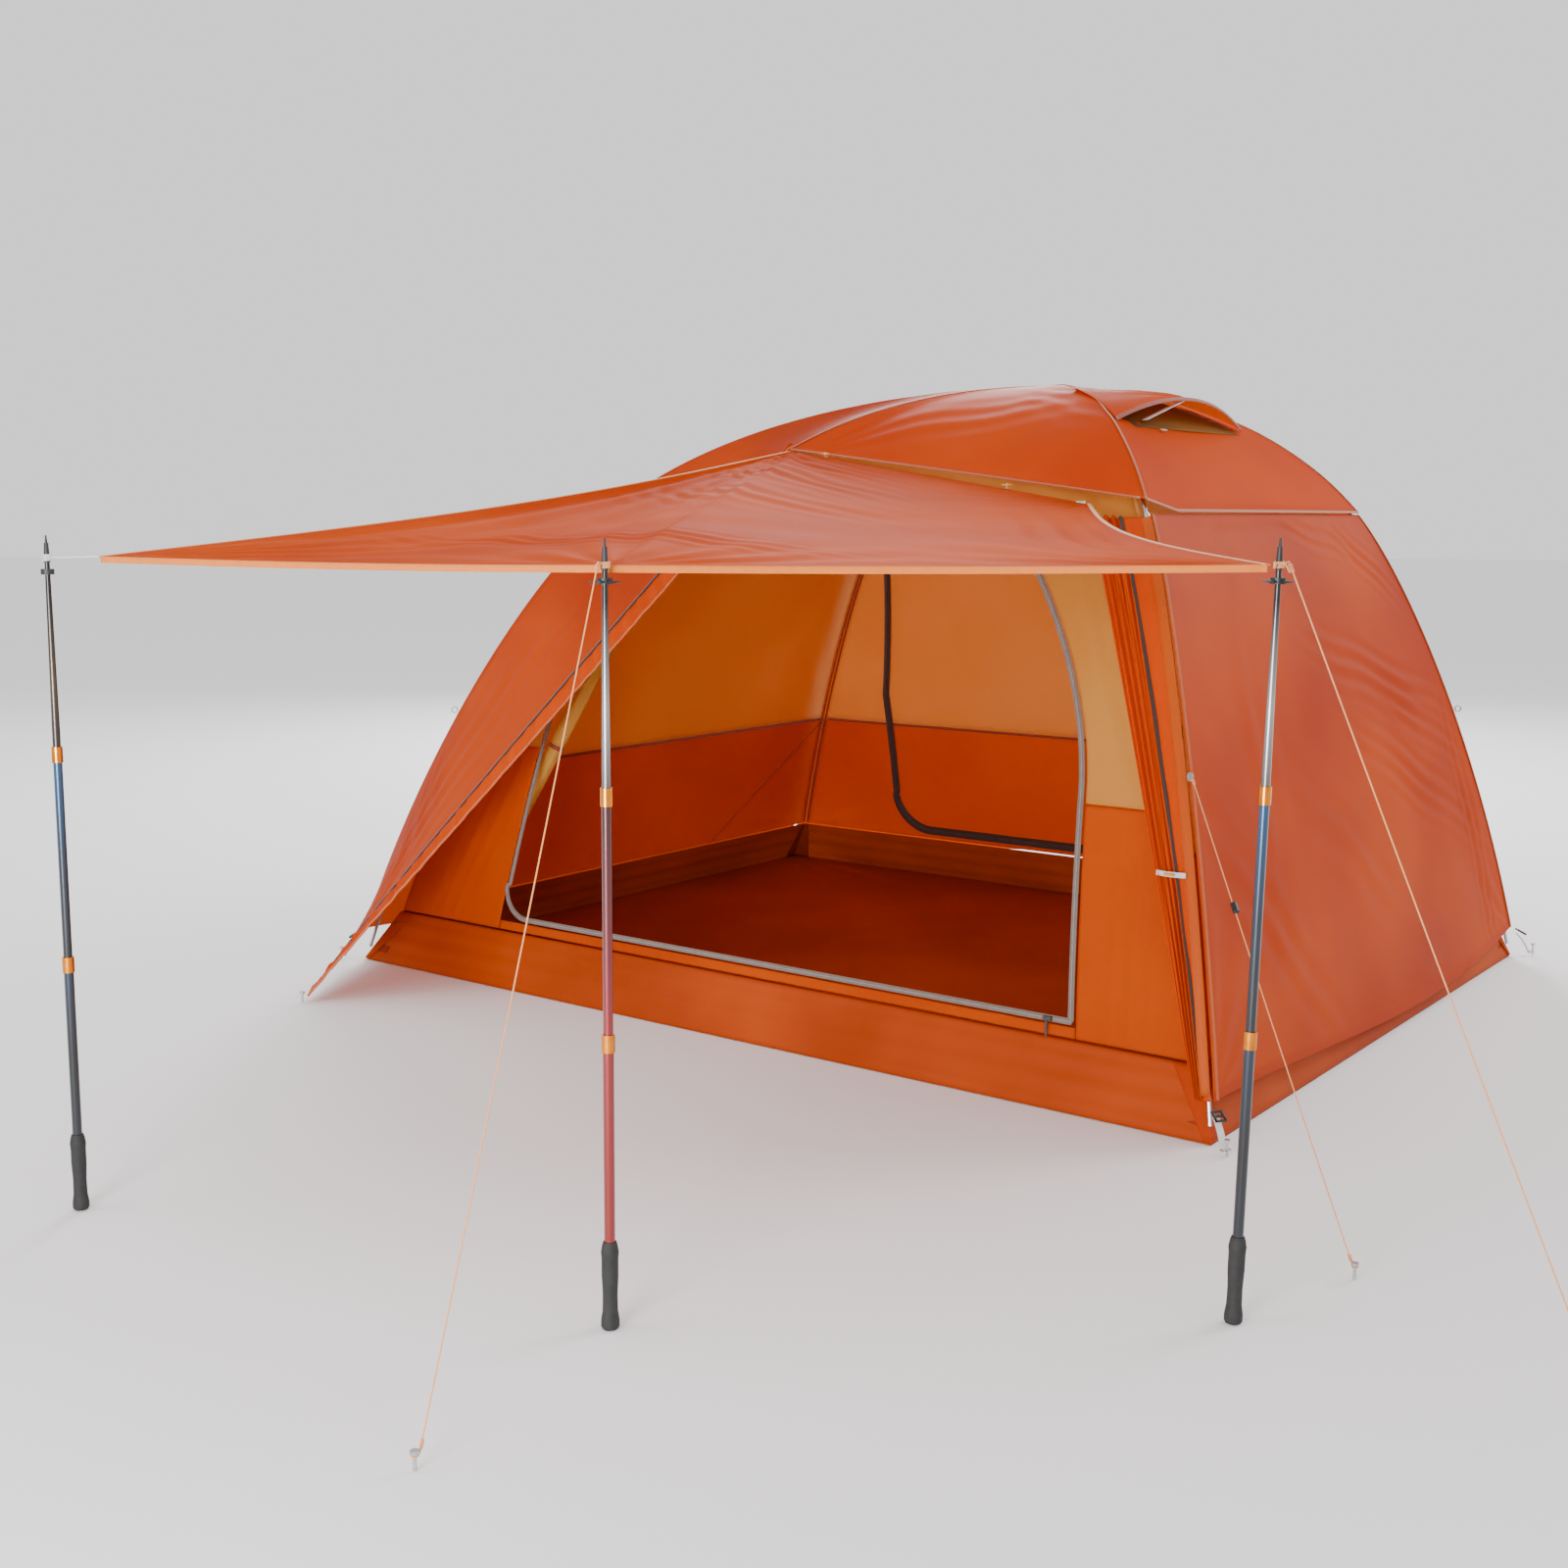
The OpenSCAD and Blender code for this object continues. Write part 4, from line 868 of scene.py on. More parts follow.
# %% [markdown]
# ## The fly
#
# The fly is six panels.  The roof covers the hub and carries the vent, the two
# ends come down to a curved hem, the wing is the left half of the door's
# vestibule, the strip is what is left of its right half, and the back vestibule
# is staked out behind.  The same line gives all of them, so they meet at seams.

# %% Roof
WING_SHARE = 0.225
END_SEAM = ELBOW + 0.005
END_REACH = float(reach_of(END_SEAM))
HEADER_LEFT, HEADER_RIGHT, BACK_HEADER, LEFT_SEAM = 0.475, 0.60, 0.58, 0.60
HEADER_END = 0.91
HEM = 0.095


def roof_stop(w):
    """Share of the way out where the roof ends, side by side with short ramps."""
    start = [HEADER_LEFT, HEADER_RIGHT, END_REACH, BACK_HEADER]
    end = [HEADER_RIGHT, END_REACH, BACK_HEADER, LEFT_SEAM]
    side = np.clip(np.floor(w).astype(int), 0, 3)
    t = np.where(side == 0, (w - WING_SHARE) / (1 - WING_SHARE), np.minimum(1, (w - side) * 9))
    return np.take(start, side) * (1 - t) + np.take(end, side) * t


def side_columns(first, last, count):
    """Values of w that put a column exactly on every leg."""
    stops = [first, *range(math.ceil(first + 1e-6), math.ceil(last - 1e-6)), last]
    return np.concatenate([np.linspace(a, b, count, endpoint=False)
                           for a, b in zip(stops, stops[1:])]
                          + [[last]])


def dish(w, depth):
    """Cloth dips by depth between two legs: 4 s (1 - s)."""
    s = w - np.floor(w)
    return -depth * 4 * s * (1 - s)


VENT_Y, VENT_W, VENT_LIFT = -0.044, 0.758, 0.082
VENT_ROOT, VENT_LIP, VENT_TIP_BACK = 0.174, 0.426, 0.024


def vent_x(r):
    """x of the right panel at a share of the way out."""
    return HUB[0] + r * FLY[0] * (HALF_LENGTH - HUB[0])


roof_w = side_columns(WING_SHARE + 0.003, 3.998, 90)
roof_t = np.linspace(0, 1, 110)[:, None]
roof_r = 0.012 + (roof_stop(roof_w) - 0.015) * roof_t
roof_base = on_layer(FLY, roof_w[None, :], r=roof_r)
roof_height = (dish(roof_w[None, :], 0.010) * ease(roof_r / 0.5)
               + crumple(roof_base, 0.30, 0.0016, 3))
roof_height = (roof_height
               + packet(roof_base, (0.30, -0.42, 1.60), (1, 0.3, 0), 0.09, 0.0016, 0.30, 0.12))
roof_height = (roof_height
               + packet(roof_base, (0.62, -0.30, 1.62), (1, -0.5, -0.3), 0.07, 0.0022, 0.20, 0.10))
roof_height = roof_height + fan(roof_base, (-0.12, -0.53, 1.50), (1, 0.1, 0), 22, 0.0035, 0.22)
roof_grid = lifted(roof_base, roof_height * inside(roof_base, 0.03))
mid_r = (roof_r[:-1] + roof_r[1:])[:, :-1] / 2
mid_w = ((roof_w[:-1] + roof_w[1:]) / 2)[None, :]
mid_y = roof_base[:-1, :-1, 1] - VENT_Y
slit_half = VENT_W / 2 * (0.56 + 0.36 * (mid_r - VENT_ROOT) / (VENT_LIP - VENT_ROOT))
vent_hole = ((mid_w > 1) & (mid_w < 2) & (mid_r > 0.20) & (mid_r < 0.398)
             & (np.abs(mid_y) < slit_half))
roof_seam = near_edges(*roof_base.shape[:2], bottom=0.018)
roof = shell("roof", roof_grid, FLY_LIT, keep=~vent_hole, seam=roof_seam)
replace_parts(roof, "fly_roof")
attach(roof, HOME)

# %% [markdown]
# ### The vent
#
# The vent is an eyebrow: the roof's cloth arches up over a slit, a stiff stay
# slants from below the slit to the top of the arch, and fine mesh closes the
# gap.  With the stay folded down the arch lies flat on the mesh.

# %% Vent
stay_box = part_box("vent_prop")
vent_t = np.linspace(0, 1, 60)[:, None]
vent_u = np.linspace(0, 1, 140)[None, :]
arch = 1 - np.abs(2 * vent_u - 1) ** 2
vent_r = VENT_ROOT + (VENT_LIP - VENT_TIP_BACK * (1 - arch) - VENT_ROOT) * vent_t
flap_x = vent_x(vent_r)
flap_y = VENT_Y + VENT_W * (vent_u - 0.5) * (0.5 + 0.5 * vent_t)
flap_z = height_of(vent_r) + 0.0015 + 0.002 * vent_t + VENT_LIFT * arch * vent_t**1.3
flap_base = np.stack(np.broadcast_arrays(flap_x, flap_y, flap_z), -1)
stay_top = (vent_x(VENT_LIP * 0.98), -0.07, 1.64)
flap_relief = (fan(flap_base, stay_top, (-1, 0, 0), 14, 0.0030, 0.16)
               + crumple(flap_base, 0.12, 0.0012, 8))
flap_grid = lifted(flap_base, flap_relief * inside(flap_base, 0.05))
flap_seam = near_edges(60, 140, bottom=0.05)
flap = shell("vent_flap_cloth", flap_grid, FLY_LIT, seam=flap_seam)
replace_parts(flap, "vent_flap")
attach(flap, HOME)
lip_path = flap_grid[-1] + [0.001, 0, -0.0015]
lip_binding = tape("vent_lip_binding", lip_path, 0.010, 0.0022, DARK_BINDING, (0.9, 0, 0.45))
for piece in (flap, lip_binding):
    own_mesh(piece)
mesh_w = np.linspace(1.06, 1.84, 40)[None, :]
mesh_r = np.linspace(0.185, 0.415, 24)[:, None]
mesh_grid = on_layer(FLY, mesh_w, r=mesh_r) - [0, 0, 0.006]
vent_net = shell("vent_net", mesh_grid, NET_PAINTED_SHADE)
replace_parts(vent_net, "vent_mesh")
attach(vent_net, HOME)
print("vent lip at", np.round(flap_grid[-1, 70], 3), "stay", [tuple(round(v, 3) for v in c) for c in stay_box])

# %% [markdown]
# ### The ends
#
# The right end is one tall panel.  Its hem swings down from both corners to a
# stake loop, and pull from that loop and from the guy lines leaves diagonal
# folds across the middle.  The left end is its plainer twin.


# %% Right and left ends
def end_panel(name, first, hem_z, top_z, folds, finish, columns=150, rows=190):
    """A wall of the fly between two legs, from the end seam to the hem."""
    w = np.linspace(first + 0.003, first + 0.997, columns)[None, :]
    t = np.linspace(0, 1, rows)[:, None]
    z = top_z + (hem_z(w - first) - top_z) * t
    base = on_layer(FLY, w, z=z)
    relief = (dish(w, 0.016) * np.sin(np.pi * np.clip(t * 0.8 + 0.1, 0, 1))
              + crumple(base, 0.35, 0.0022, 11 + first))
    for fold in folds:
        relief = relief + packet(base, *fold)
    for corner, along, phase in ((base[-1, 0], base[-2, 9] - base[-1, 0], 0.3),
                                 (base[-1, -1], base[-2, -9] - base[-1, -1], 1.1)):
        relief = relief + fan(base, corner, along, 15, 0.0045, 0.30, phase)
    grid = lifted(base, relief * inside(base, 0.035))
    seam = near_edges(rows, columns, top=0.010, bottom=0.018)
    return shell(name, grid, finish, seam=seam), grid


right_folds = [
    ((1.187, 0.44, 0.868), (0.06, 0.80, -0.24), 0.060, 0.0042, 0.36, 0.085, 0.4),
    ((1.215, 0.62, 0.760), (0.07, 0.70, -0.30), 0.052, 0.0034, 0.30, 0.070, 1.9),
    ((1.267, 0.53, 0.587), (0.08, 0.68, -0.33), 0.058, 0.0044, 0.34, 0.090, 1.2),
    ((1.300, 0.04, 0.420), (0.08, 0.47, -0.35), 0.110, 0.0026, 0.40, 0.120, 0.0),
    ((1.020, 0.20, 1.300), (0.05, 0.50, -0.12), 0.045, 0.0022, 0.22, 0.060, 0.7),
    ((1.055, 0.54, 1.220), (0.07, 0.35, -0.22), 0.045, 0.0026, 0.20, 0.060, 2.0),
    ((1.330, 0.88, 0.330), (0.10, 0.05, -0.60), 0.050, 0.0030, 0.40, 0.060, 0.0),
    ((1.150, -0.45, 0.980), (0.10, -0.12, -0.60), 0.120, 0.0024, 0.55, 0.120, 0.9),
    ((1.320, -0.60, 0.360), (0.05, 0.40, -0.45), 0.100, 0.0030, 0.40, 0.120, 0.2),
]
right_end, right_grid = end_panel(
    "right_end", 1, lambda s: HEM - 0.060 * np.sin(np.pi * s**1.5), END_SEAM - 0.002, right_folds,
    FLY_SHADE_SHEEN
)
left_folds = [
    ((-1.10, 0.10, 0.80), (-0.10, 0.70, -0.25), 0.070, 0.0036, 0.45, 0.100, 0.4),
    ((-1.20, -0.45, 0.50), (-0.10, -0.50, -0.40), 0.080, 0.0036, 0.45, 0.110, 1.4),
    ((-1.00, 0.55, 1.00), (-0.10, 0.30, -0.60), 0.060, 0.0028, 0.40, 0.090, 0.2),
]
left_end, left_grid = end_panel(
    "left_end", 3, lambda s: HEM - 0.030 * np.sin(np.pi * s), float(height_of(LEFT_SEAM + 0.003)),
    left_folds, FLY_SHADE_SHEEN
)
for obj, grid, node in ((right_end, right_grid, "fly_right_end"),
                        (left_end, left_grid, "fly_left_end")):
    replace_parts(obj, node)
    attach(obj, HOME)

# %% [markdown]
# ### The wing
#
# The wing is the door's left half, unzipped from the hub seam down and pulled
# out to its own stake.  Beyond the zip runs a storm flap that turns back on
# itself, so its edge is puckered.  The zip's thread holds tighter than the
# cloth, which gives the small folds along it.

# %% Front wing
WING_FOOT = np.array([-1.110, -1.510, 0.014])
zip_top = on_layer(FLY, WING_SHARE, r=HEADER_LEFT)


def wing_edge(t):
    """Free edge: along the roof's seam for the first part, then straight to the stake."""
    t = np.asarray(t, float)
    on_roof = on_layer(FLY, WING_SHARE - 0.004,
                       r=0.014 + (HEADER_LEFT - 0.014) * np.clip(t / 0.4, 0, 1))
    k = np.clip((t - 0.4) / 0.6, 0, 1)[..., None]
    free = zip_top * (1 - k) + WING_FOOT * k + [-0.003, 0, 0]
    return np.where((t < 0.4)[..., None], on_roof, free)


def wing_leg(t):
    """Edge on the front left leg."""
    return on_layer(FLY, 0.002, r=0.014 + 0.971 * np.asarray(t, float) ** 0.9)


ZIP_FLAP = 0.060
wing_t = np.linspace(0, 1, 230)
leg_edge, free_edge = wing_leg(wing_t), wing_edge(wing_t)
wing_span = np.linalg.norm(free_edge - leg_edge, axis=-1)
zip_share = 1 - np.clip(ZIP_FLAP * ease((wing_t - 0.38) / 0.12) / wing_span, 0, 0.5)
j = np.linspace(0, 1, 110)
wing_base = (leg_edge[:, None]
             + (free_edge - leg_edge)[:, None] * (j[None, :, None] * zip_share[:, None, None]))
wing_relief = crumple(wing_base, 0.30, 0.0022, 21)
wing_relief = wing_relief + 0.010 * np.sin(np.pi * j)[None, :] * ease(wing_t / 0.4)[:, None] * -1
for centre, along, spacing, height, long, wide in (
    ((-0.95, -0.98, 0.62), (-0.35, -0.25, -0.9), 0.075, 0.0030, 0.45, 0.12),
    ((-0.70, -0.86, 1.05), (-0.5, -0.5, -0.75), 0.060, 0.0022, 0.35, 0.10),
    ((-1.12, -1.25, 0.32), (0.1, -0.5, -0.8), 0.050, 0.0032, 0.30, 0.09),
):
    wing_relief = wing_relief + packet(wing_base, centre, along, spacing, height, long, wide)
wing_relief = wing_relief + fan(wing_base, WING_FOOT, (zip_top - WING_FOOT), 16, 0.0045, 0.35)
wing_grid = lifted(wing_base, wing_relief * inside(wing_base, 0.04))
wing_seam = near_edges(230, 110, left=0.045, bottom=0.012)
wing = shell("front_wing", wing_grid, FLY_SHADE_SHEEN, seam=wing_seam)
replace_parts(wing, "fly_front_wing")
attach(wing, HOME)

flap_rows = wing_t > 0.385
band_s = np.linspace(0, 1, 22)
pucker_run = np.cumsum(np.linalg.norm(np.diff(free_edge[flap_rows], axis=0, prepend=free_edge[flap_rows][:1]), axis=-1))
inner_line = wing_grid[flap_rows, -1]
band_base = (inner_line[:, None]
             + (free_edge[flap_rows] - inner_line)[:, None] * band_s[None, :, None])
pucker = (0.0040 * np.sin(2 * np.pi * pucker_run / 0.061) + 0.0026 * np.sin(2 * np.pi * pucker_run / 0.037 + 1.0)
          + 0.0018 * np.sin(2 * np.pi * pucker_run / 0.021))
band_relief = (pucker[:, None] * np.sin(np.pi * np.clip(band_s * 0.9, 0, 1))[None, :]
               + 0.006 * np.sin(np.pi * band_s)[None, :])
band_grid = lifted(band_base, band_relief + 0.002)
storm_band = shell("wing_storm_flap", band_grid, FLY_LIT,
                   seam=near_edges(*band_grid.shape[:2], right=0.10))
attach(storm_band, HOME)
wing_zip_path = band_grid[:, 0] + grid_normals(band_grid)[:, 0] * 0.002
wing_zip = tape("wing_zip", wing_zip_path[::2], 0.008, 0.003, ZIP_BROWN, (-0.3, -0.9, 0.3))
fold_path = band_grid[:, -1] + grid_normals(band_grid)[:, -1] * 0.001
wing_fold = tape("wing_flap_edge", fold_path[::2], 0.007, 0.004, SEAM_TAPE, (-0.3, -0.9, 0.3))

# %% [markdown]
# ### The strip beside the door
#
# The right half of the vestibule is drawn back to its leg and tied.  Next to the
# leg lies a flat band of cloth, then the zip, and left of the zip the storm flap
# hangs in tight upright gathers.

# %% Front strip
strip_t = np.linspace(0, 1, 180)[:, None]
strip_z = (END_SEAM - 0.010) + (HEM - END_SEAM + 0.010) * strip_t
strip_first = HEADER_END + (0.985 - HEADER_END) * strip_t**0.8
zip_w = strip_first + (0.998 - strip_first) * 0.52
flat_j = np.linspace(0, 1, 40)[None, :]
flat_base = on_layer(FLY, zip_w + (0.998 - zip_w) * flat_j, z=strip_z)
flat_relief = 0.004 * np.sin(np.pi * flat_j) + crumple(flat_base, 0.20, 0.0012, 31)
flat_grid = lifted(flat_base, flat_relief * inside(flat_base, 0.05))
strip = shell("front_strip", flat_grid, FLY_LIT,
              seam=near_edges(180, 40, left=0.05, bottom=0.015))
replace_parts(strip, "fly_front_strip")
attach(strip, HOME)
gather_j = np.linspace(0, 1, 90)[None, :]
gather_base = on_layer(FLY, strip_first + (zip_w - strip_first) * gather_j, z=strip_z)
gather_wave = np.sin(2 * np.pi * (4.2 * gather_j + 0.25 * np.sin(5 * strip_t) + 0.5 * strip_t))
gather_wave = gather_wave + 0.4 * np.sin(2 * np.pi * (9.1 * gather_j + 0.6 * strip_t))
gather_grid = lifted(gather_base,
                     0.0075 * gather_wave * ease(gather_j / 0.12) * ease((1 - gather_j) / 0.06)
                     + 0.010 * (1 - gather_j))
gather = shell("strip_gathers", gather_grid, FLY_LIT, seam=near_edges(180, 90, left=0.06))
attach(gather, HOME)
strip_zip_path = flat_grid[:, 0] + grid_normals(flat_grid)[:, 0] * 0.003
strip_zip = tape("strip_zip", strip_zip_path[::2], 0.009, 0.003, ZIP_BROWN, (0.3, -0.9, 0.3))

# %% [markdown]
# ### The back vestibule
#
# The back panel hangs from the roof's back seam, swells out to one stake and
# comes in to both legs.  Its zip is closed, and runs down a little to the right
# of the middle.

# %% Back vestibule
BACK_STAKE = 1.850


def hem_point(u):
    """Hem of the back vestibule: from leg to leg, swelling out to the stake."""
    u = np.asarray(u, float)
    a, b = on_layer(FLY, 2.004, z=HEM), on_layer(FLY, 2.996, z=HEM)
    swell = 1 - np.abs(2 * u - 1) ** 2.2
    x = a[0] + (b[0] - a[0]) * u
    y = a[1] + (BACK_STAKE - a[1]) * swell
    z = HEM + (0.020 - HEM) * np.minimum(1, swell * 1.5)
    return np.stack([x, y, z], -1)


vest_u = np.linspace(0, 1, 220)
vest_t = np.linspace(0, 1, 170)[:, None]
vest_w = 2.004 + 0.992 * vest_u
vest_top = roof_stop(vest_w) + 0.004
hang = (on_layer(FLY, vest_w, r=vest_top)[None] * (1 - vest_t[..., None])
        + hem_point(vest_u)[None] * vest_t[..., None])
side_z = height_of(vest_top) + (HEM - height_of(vest_top)) * vest_t
wall = on_layer(FLY, vest_w[None], z=side_z)
lean = (1 - np.abs(2 * vest_u - 1) ** 3)[None, :, None]
vest_base = wall * (1 - lean) + hang * lean
vest_relief = crumple(vest_base, 0.34, 0.0026, 41)
for centre, along, spacing, height, long, wide in (
    ((0.70, 1.25, 0.60), (0.1, 0.5, -0.8), 0.09, 0.0040, 0.50, 0.14),
    ((-0.60, 1.25, 0.55), (-0.3, 0.5, -0.8), 0.08, 0.0040, 0.50, 0.13),
    ((0.10, 1.20, 0.80), (0.0, 0.5, -0.8), 0.10, 0.0030, 0.50, 0.16),
):
    vest_relief = vest_relief + packet(vest_base, centre, along, spacing, height, long, wide)
vest_relief = vest_relief + fan(vest_base, (0.15, 1.84, 0.02), (0, -0.8, 0.6), 18, 0.0050, 0.40)
vest_grid = lifted(vest_base, vest_relief * inside(vest_base, 0.04))
vestibule = shell("back_vestibule", vest_grid, FLY_SHADE_SHEEN,
                  seam=near_edges(170, 220, top=0.012, bottom=0.018))
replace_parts(vestibule, "fly_back_vestibule")
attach(vestibule, HOME)
vest_zip_path = vest_grid[2:-2, 96] + grid_normals(vest_grid)[2:-2, 96] * 0.003
vest_zip = tape("vestibule_zip", vest_zip_path[::2], 0.012, 0.003, ZIP_BROWN, (0, 0.9, 0.4))

# %% [markdown]
# ## The awning
#
# The awning is the middle of the vestibule, lifted level.  Two cuts make it: a
# long narrow triangle to the far left pole, and a broad piece over the doorway.
# They join along a seam from the middle pole's corner to the header's left end.
# Each free edge bows in, because cloth that is pulled at its corners can only
# stay flat if its edges are cut hollow.

# %% Awning
HEM_TURN = 0.58
FIRST_SPREAD = 0.05


def header_point(u):
    """Where the awning is sewn to the roof, from left to right."""
    w = WING_SHARE + 0.012 + (HEADER_END - WING_SHARE - 0.012) * u
    return (on_layer(FLY, w, r=HEADER_LEFT + (HEADER_RIGHT - HEADER_LEFT) * u + 0.004)
            + [0, -0.002, 0])


def bowed(a, b, bow, t):
    """A line from a to b whose middle is moved by bow."""
    t = np.asarray(t, float)[..., None]
    return a * (1 - t) + b * t + np.asarray(bow) * np.sin(np.pi * t)


def front_point(u):
    """Front hem: two bows that meet at the middle pole."""
    u = np.asarray(u, float)
    first = bowed(tie_left, tie_centre, (0, 0.060, -0.006), np.clip(u / HEM_TURN, 0, 1))
    last = bowed(tie_centre, tie_right, (-0.040, 0.040, -0.004),
                 np.clip((u - HEM_TURN) / (1 - HEM_TURN), 0, 1))
    return np.where((u < HEM_TURN)[..., None], first, last)


def header_share(u):
    """The narrow cut takes only the first bit of the header."""
    return np.where(u < HEM_TURN, FIRST_SPREAD * u / HEM_TURN,
                    FIRST_SPREAD + (1 - FIRST_SPREAD) * (u - HEM_TURN) / (1 - HEM_TURN))


awn_u = np.concatenate([np.linspace(0, HEM_TURN, 110, endpoint=False),
                        np.linspace(HEM_TURN, 1, 130)])
awn_v = np.linspace(0, 1, 200)
top_line, front_line = header_point(header_share(awn_u)), front_point(awn_u)
left_line = bowed(header_point(np.array(0.0)), tie_left, (0.045, 0, -0.020), awn_v)
right_line = bowed(header_point(np.array(1.0)), tie_right, (-0.050, -0.040, -0.012), awn_v)
v3, u3 = awn_v[:, None, None], awn_u[None, :, None]
ruled = top_line[None] * (1 - v3) + front_line[None] * v3
left_pull = (left_line - (top_line[0] * (1 - v3[:, 0]) + front_line[0] * v3[:, 0]))[:, None]
right_pull = (right_line - (top_line[-1] * (1 - v3[:, 0]) + front_line[-1] * v3[:, 0]))[:, None]
awn_base = ruled + left_pull * (1 - u3) ** 2 + right_pull * u3**2
seam_far = np.abs(u3[..., 0] - HEM_TURN)
awn_relief = (-0.012 * np.sin(np.pi * awn_v)[:, None] * ease(seam_far / 0.2)
              + crumple(awn_base, 0.30, 0.0020, 51))
awn_relief = awn_relief + 0.004 * np.exp(-((seam_far / 0.012) ** 2))
streak_dir = tie_left - header_point(np.array(0.0))
streak_u = awn_u[None, :] / HEM_TURN
streaks = np.where(streak_u < 1,
                   np.cos(2 * np.pi * (3.3 * streak_u + 0.3 * awn_v[:, None])) * 0.0045
                   + np.cos(2 * np.pi * 7.1 * streak_u) * 0.0018, 0) * ease((1 - streak_u) / 0.15)
awn_relief = awn_relief + streaks * np.sin(np.pi * np.clip(awn_v, 0.06, 1))[:, None]
for centre, along, spacing, height, long, wide in (
    ((0.05, -0.72, 1.47), (0.9, -0.35, -0.1), 0.060, 0.0044, 0.30, 0.09),
    ((0.20, -1.00, 1.44), (0.9, -0.35, -0.1), 0.075, 0.0036, 0.32, 0.10),
    ((0.35, -1.40, 1.39), (0.9, -0.20, -0.1), 0.100, 0.0024, 0.40, 0.14),
    ((0.60, -2.15, 1.30), (0.9, 0.10, -0.02), 0.060, 0.0026, 0.45, 0.08),
    ((1.10, -1.30, 1.37), (0.6, -0.8, -0.1), 0.080, 0.0026, 0.45, 0.12),
):
    awn_relief = awn_relief + packet(awn_base, centre, along, spacing, height, long, wide)
for corner, toward, count, height, reach in (
    (tie_left, -streak_dir, 26, 0.0050, 0.55),
    (tie_centre, header_point(np.array(0.3)) - tie_centre, 18, 0.0050, 0.40),
    (tie_right, header_point(np.array(0.8)) - tie_right, 20, 0.0055, 0.45),
    (header_point(np.array(0.0)), streak_dir, 20, 0.0050, 0.35),
    (header_point(np.array(1.0)), tie_right - header_point(np.array(1.0)), 18, 0.0030, 0.25),
):
    awn_relief = awn_relief + fan(awn_base, corner, toward, count, height, reach)
awn_grid = lifted(awn_base, awn_relief * inside(awn_base, 0.025))
awn_seam = near_edges(200, 240, bottom=0.010, left=0.012, right=0.012)
awn_seam = np.maximum(awn_seam, np.broadcast_to(seam_far < 0.004, (200, 240)))
awning = shell("awning_cloth", awn_grid, AWNING_PAINTED_SHEEN, seam=awn_seam)
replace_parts(awning, "awning")
HEM_TALL = 0.012
hem_path = awn_grid[-1] + [0, -0.0005, -HEM_TALL * 0.45]
awning_hem = carry("awning_front_hem", hem_path, tape_outline(0.0035, HEM_TALL), (0, 0, 1))
awning_hem.data.materials.append(HEM_BRIGHT)
left_hem = carry("awning_left_hem", awn_grid[:, 0], tape_outline(0.010, 0.003), (0, 0, 1))
right_hem = carry("awning_right_hem", awn_grid[:, -1], tape_outline(0.010, 0.003), (0, 0, 1))
for piece in (left_hem, right_hem):
    piece.data.materials.append(HEM_BRIGHT)
awning_pieces = [awning_hem, left_hem, right_hem]
for piece in (awning, *awning_pieces):
    tuple(header_point(np.array(0.4)))
    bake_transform(piece)

# %% [markdown]
# ## The inner tent
#
# The room has a tub of thick coated cloth with a light wall above it.  Up to the
# waist seam the wall is solid, and over it thin and pale, so the sun that comes
# through the fly lights it up.  Zips follow the doors' rounded outlines.

# %% Inner walls
WALL_SEAM, TUB_SEAM, DOOR_SILL = 0.600, 0.158, 0.183
DOOR_TOP = ELBOW - 0.010


def wall_panel(name, w0, w1, z_high, z_low, finish, seed, dip, columns=90, rows=70):
    """A wall of the inner tent between two legs and two heights."""
    w = np.linspace(w0 + 0.002, w1 - 0.002, columns)[None, :]
    t = np.linspace(0, 1, rows)[:, None]
    if z_high > PEAK - 0.01:
        low = float(reach_of(z_low))
        base = on_layer(INNER, w, r=0.05 + (low - 0.05) * t)
    else:
        base = on_layer(INNER, w, z=z_high + (z_low - z_high) * t)
    relief = dish(w, dip) * np.sin(np.pi * t) + crumple(base, 0.22, 0.0022, seed)
    relief = relief + fan(base, base[-1, 0], base[-2, 12] - base[-1, 0], 17, 0.0035, 0.35)
    relief = relief + fan(base, base[-1, -1], base[-2, -12] - base[-1, -1], 17, 0.0035, 0.35)
    grid = lifted(base, relief * inside(base, 0.03))
    return shell(name, grid, finish,
                 seam=near_edges(rows, columns, bottom=0.015, left=0.012, right=0.012)), grid


inner_low, inner_high = [], []
for k, side in ((1, "right"), (2, "back"), (3, "left")):
    low, low_grid = wall_panel(f"inner_low_{side}", k, k + 1, WALL_SEAM, TUB_SEAM, WALL_CLOTH,
                               60 + k, 0.006)
    high, high_grid = wall_panel(f"inner_high_{side}", k, k + 1, PEAK, WALL_SEAM + 0.003,
                                 LIGHT_CLOTH, 70 + k, 0.012, rows=130)
    for obj, grid, node in ((low, low_grid, "inner_lower_walls"),
                            (high, high_grid, "inner_upper_walls")):
        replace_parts(obj, node)
        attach(obj, HOME)
    inner_low.append(low_grid)
    inner_high.append(high_grid)


# %% Door's outline
def past_bend(z):
    """How far past the bend in the door's side a height is, from 0 to 1."""
    return np.maximum(0, np.asarray(z) / ELBOW - 0.537) / (1 - 0.537)


def door_draw(z):
    """How far the door's sides lean in at a height."""
    return 0.138 * np.asarray(z) / ELBOW + 0.250 * past_bend(z) ** 2


def door_right_x(z):
    return 1.036 - door_draw(z)


def door_left_x(z):
    return -0.880 + door_draw(z)


def on_front(x, z):
    """A point of the inner tent's front wall."""
    return on_layer(INNER, side_share(INNER, np.asarray(x, float), np.asarray(z, float)), z=z)


SEAM_RIGHT = 0.700


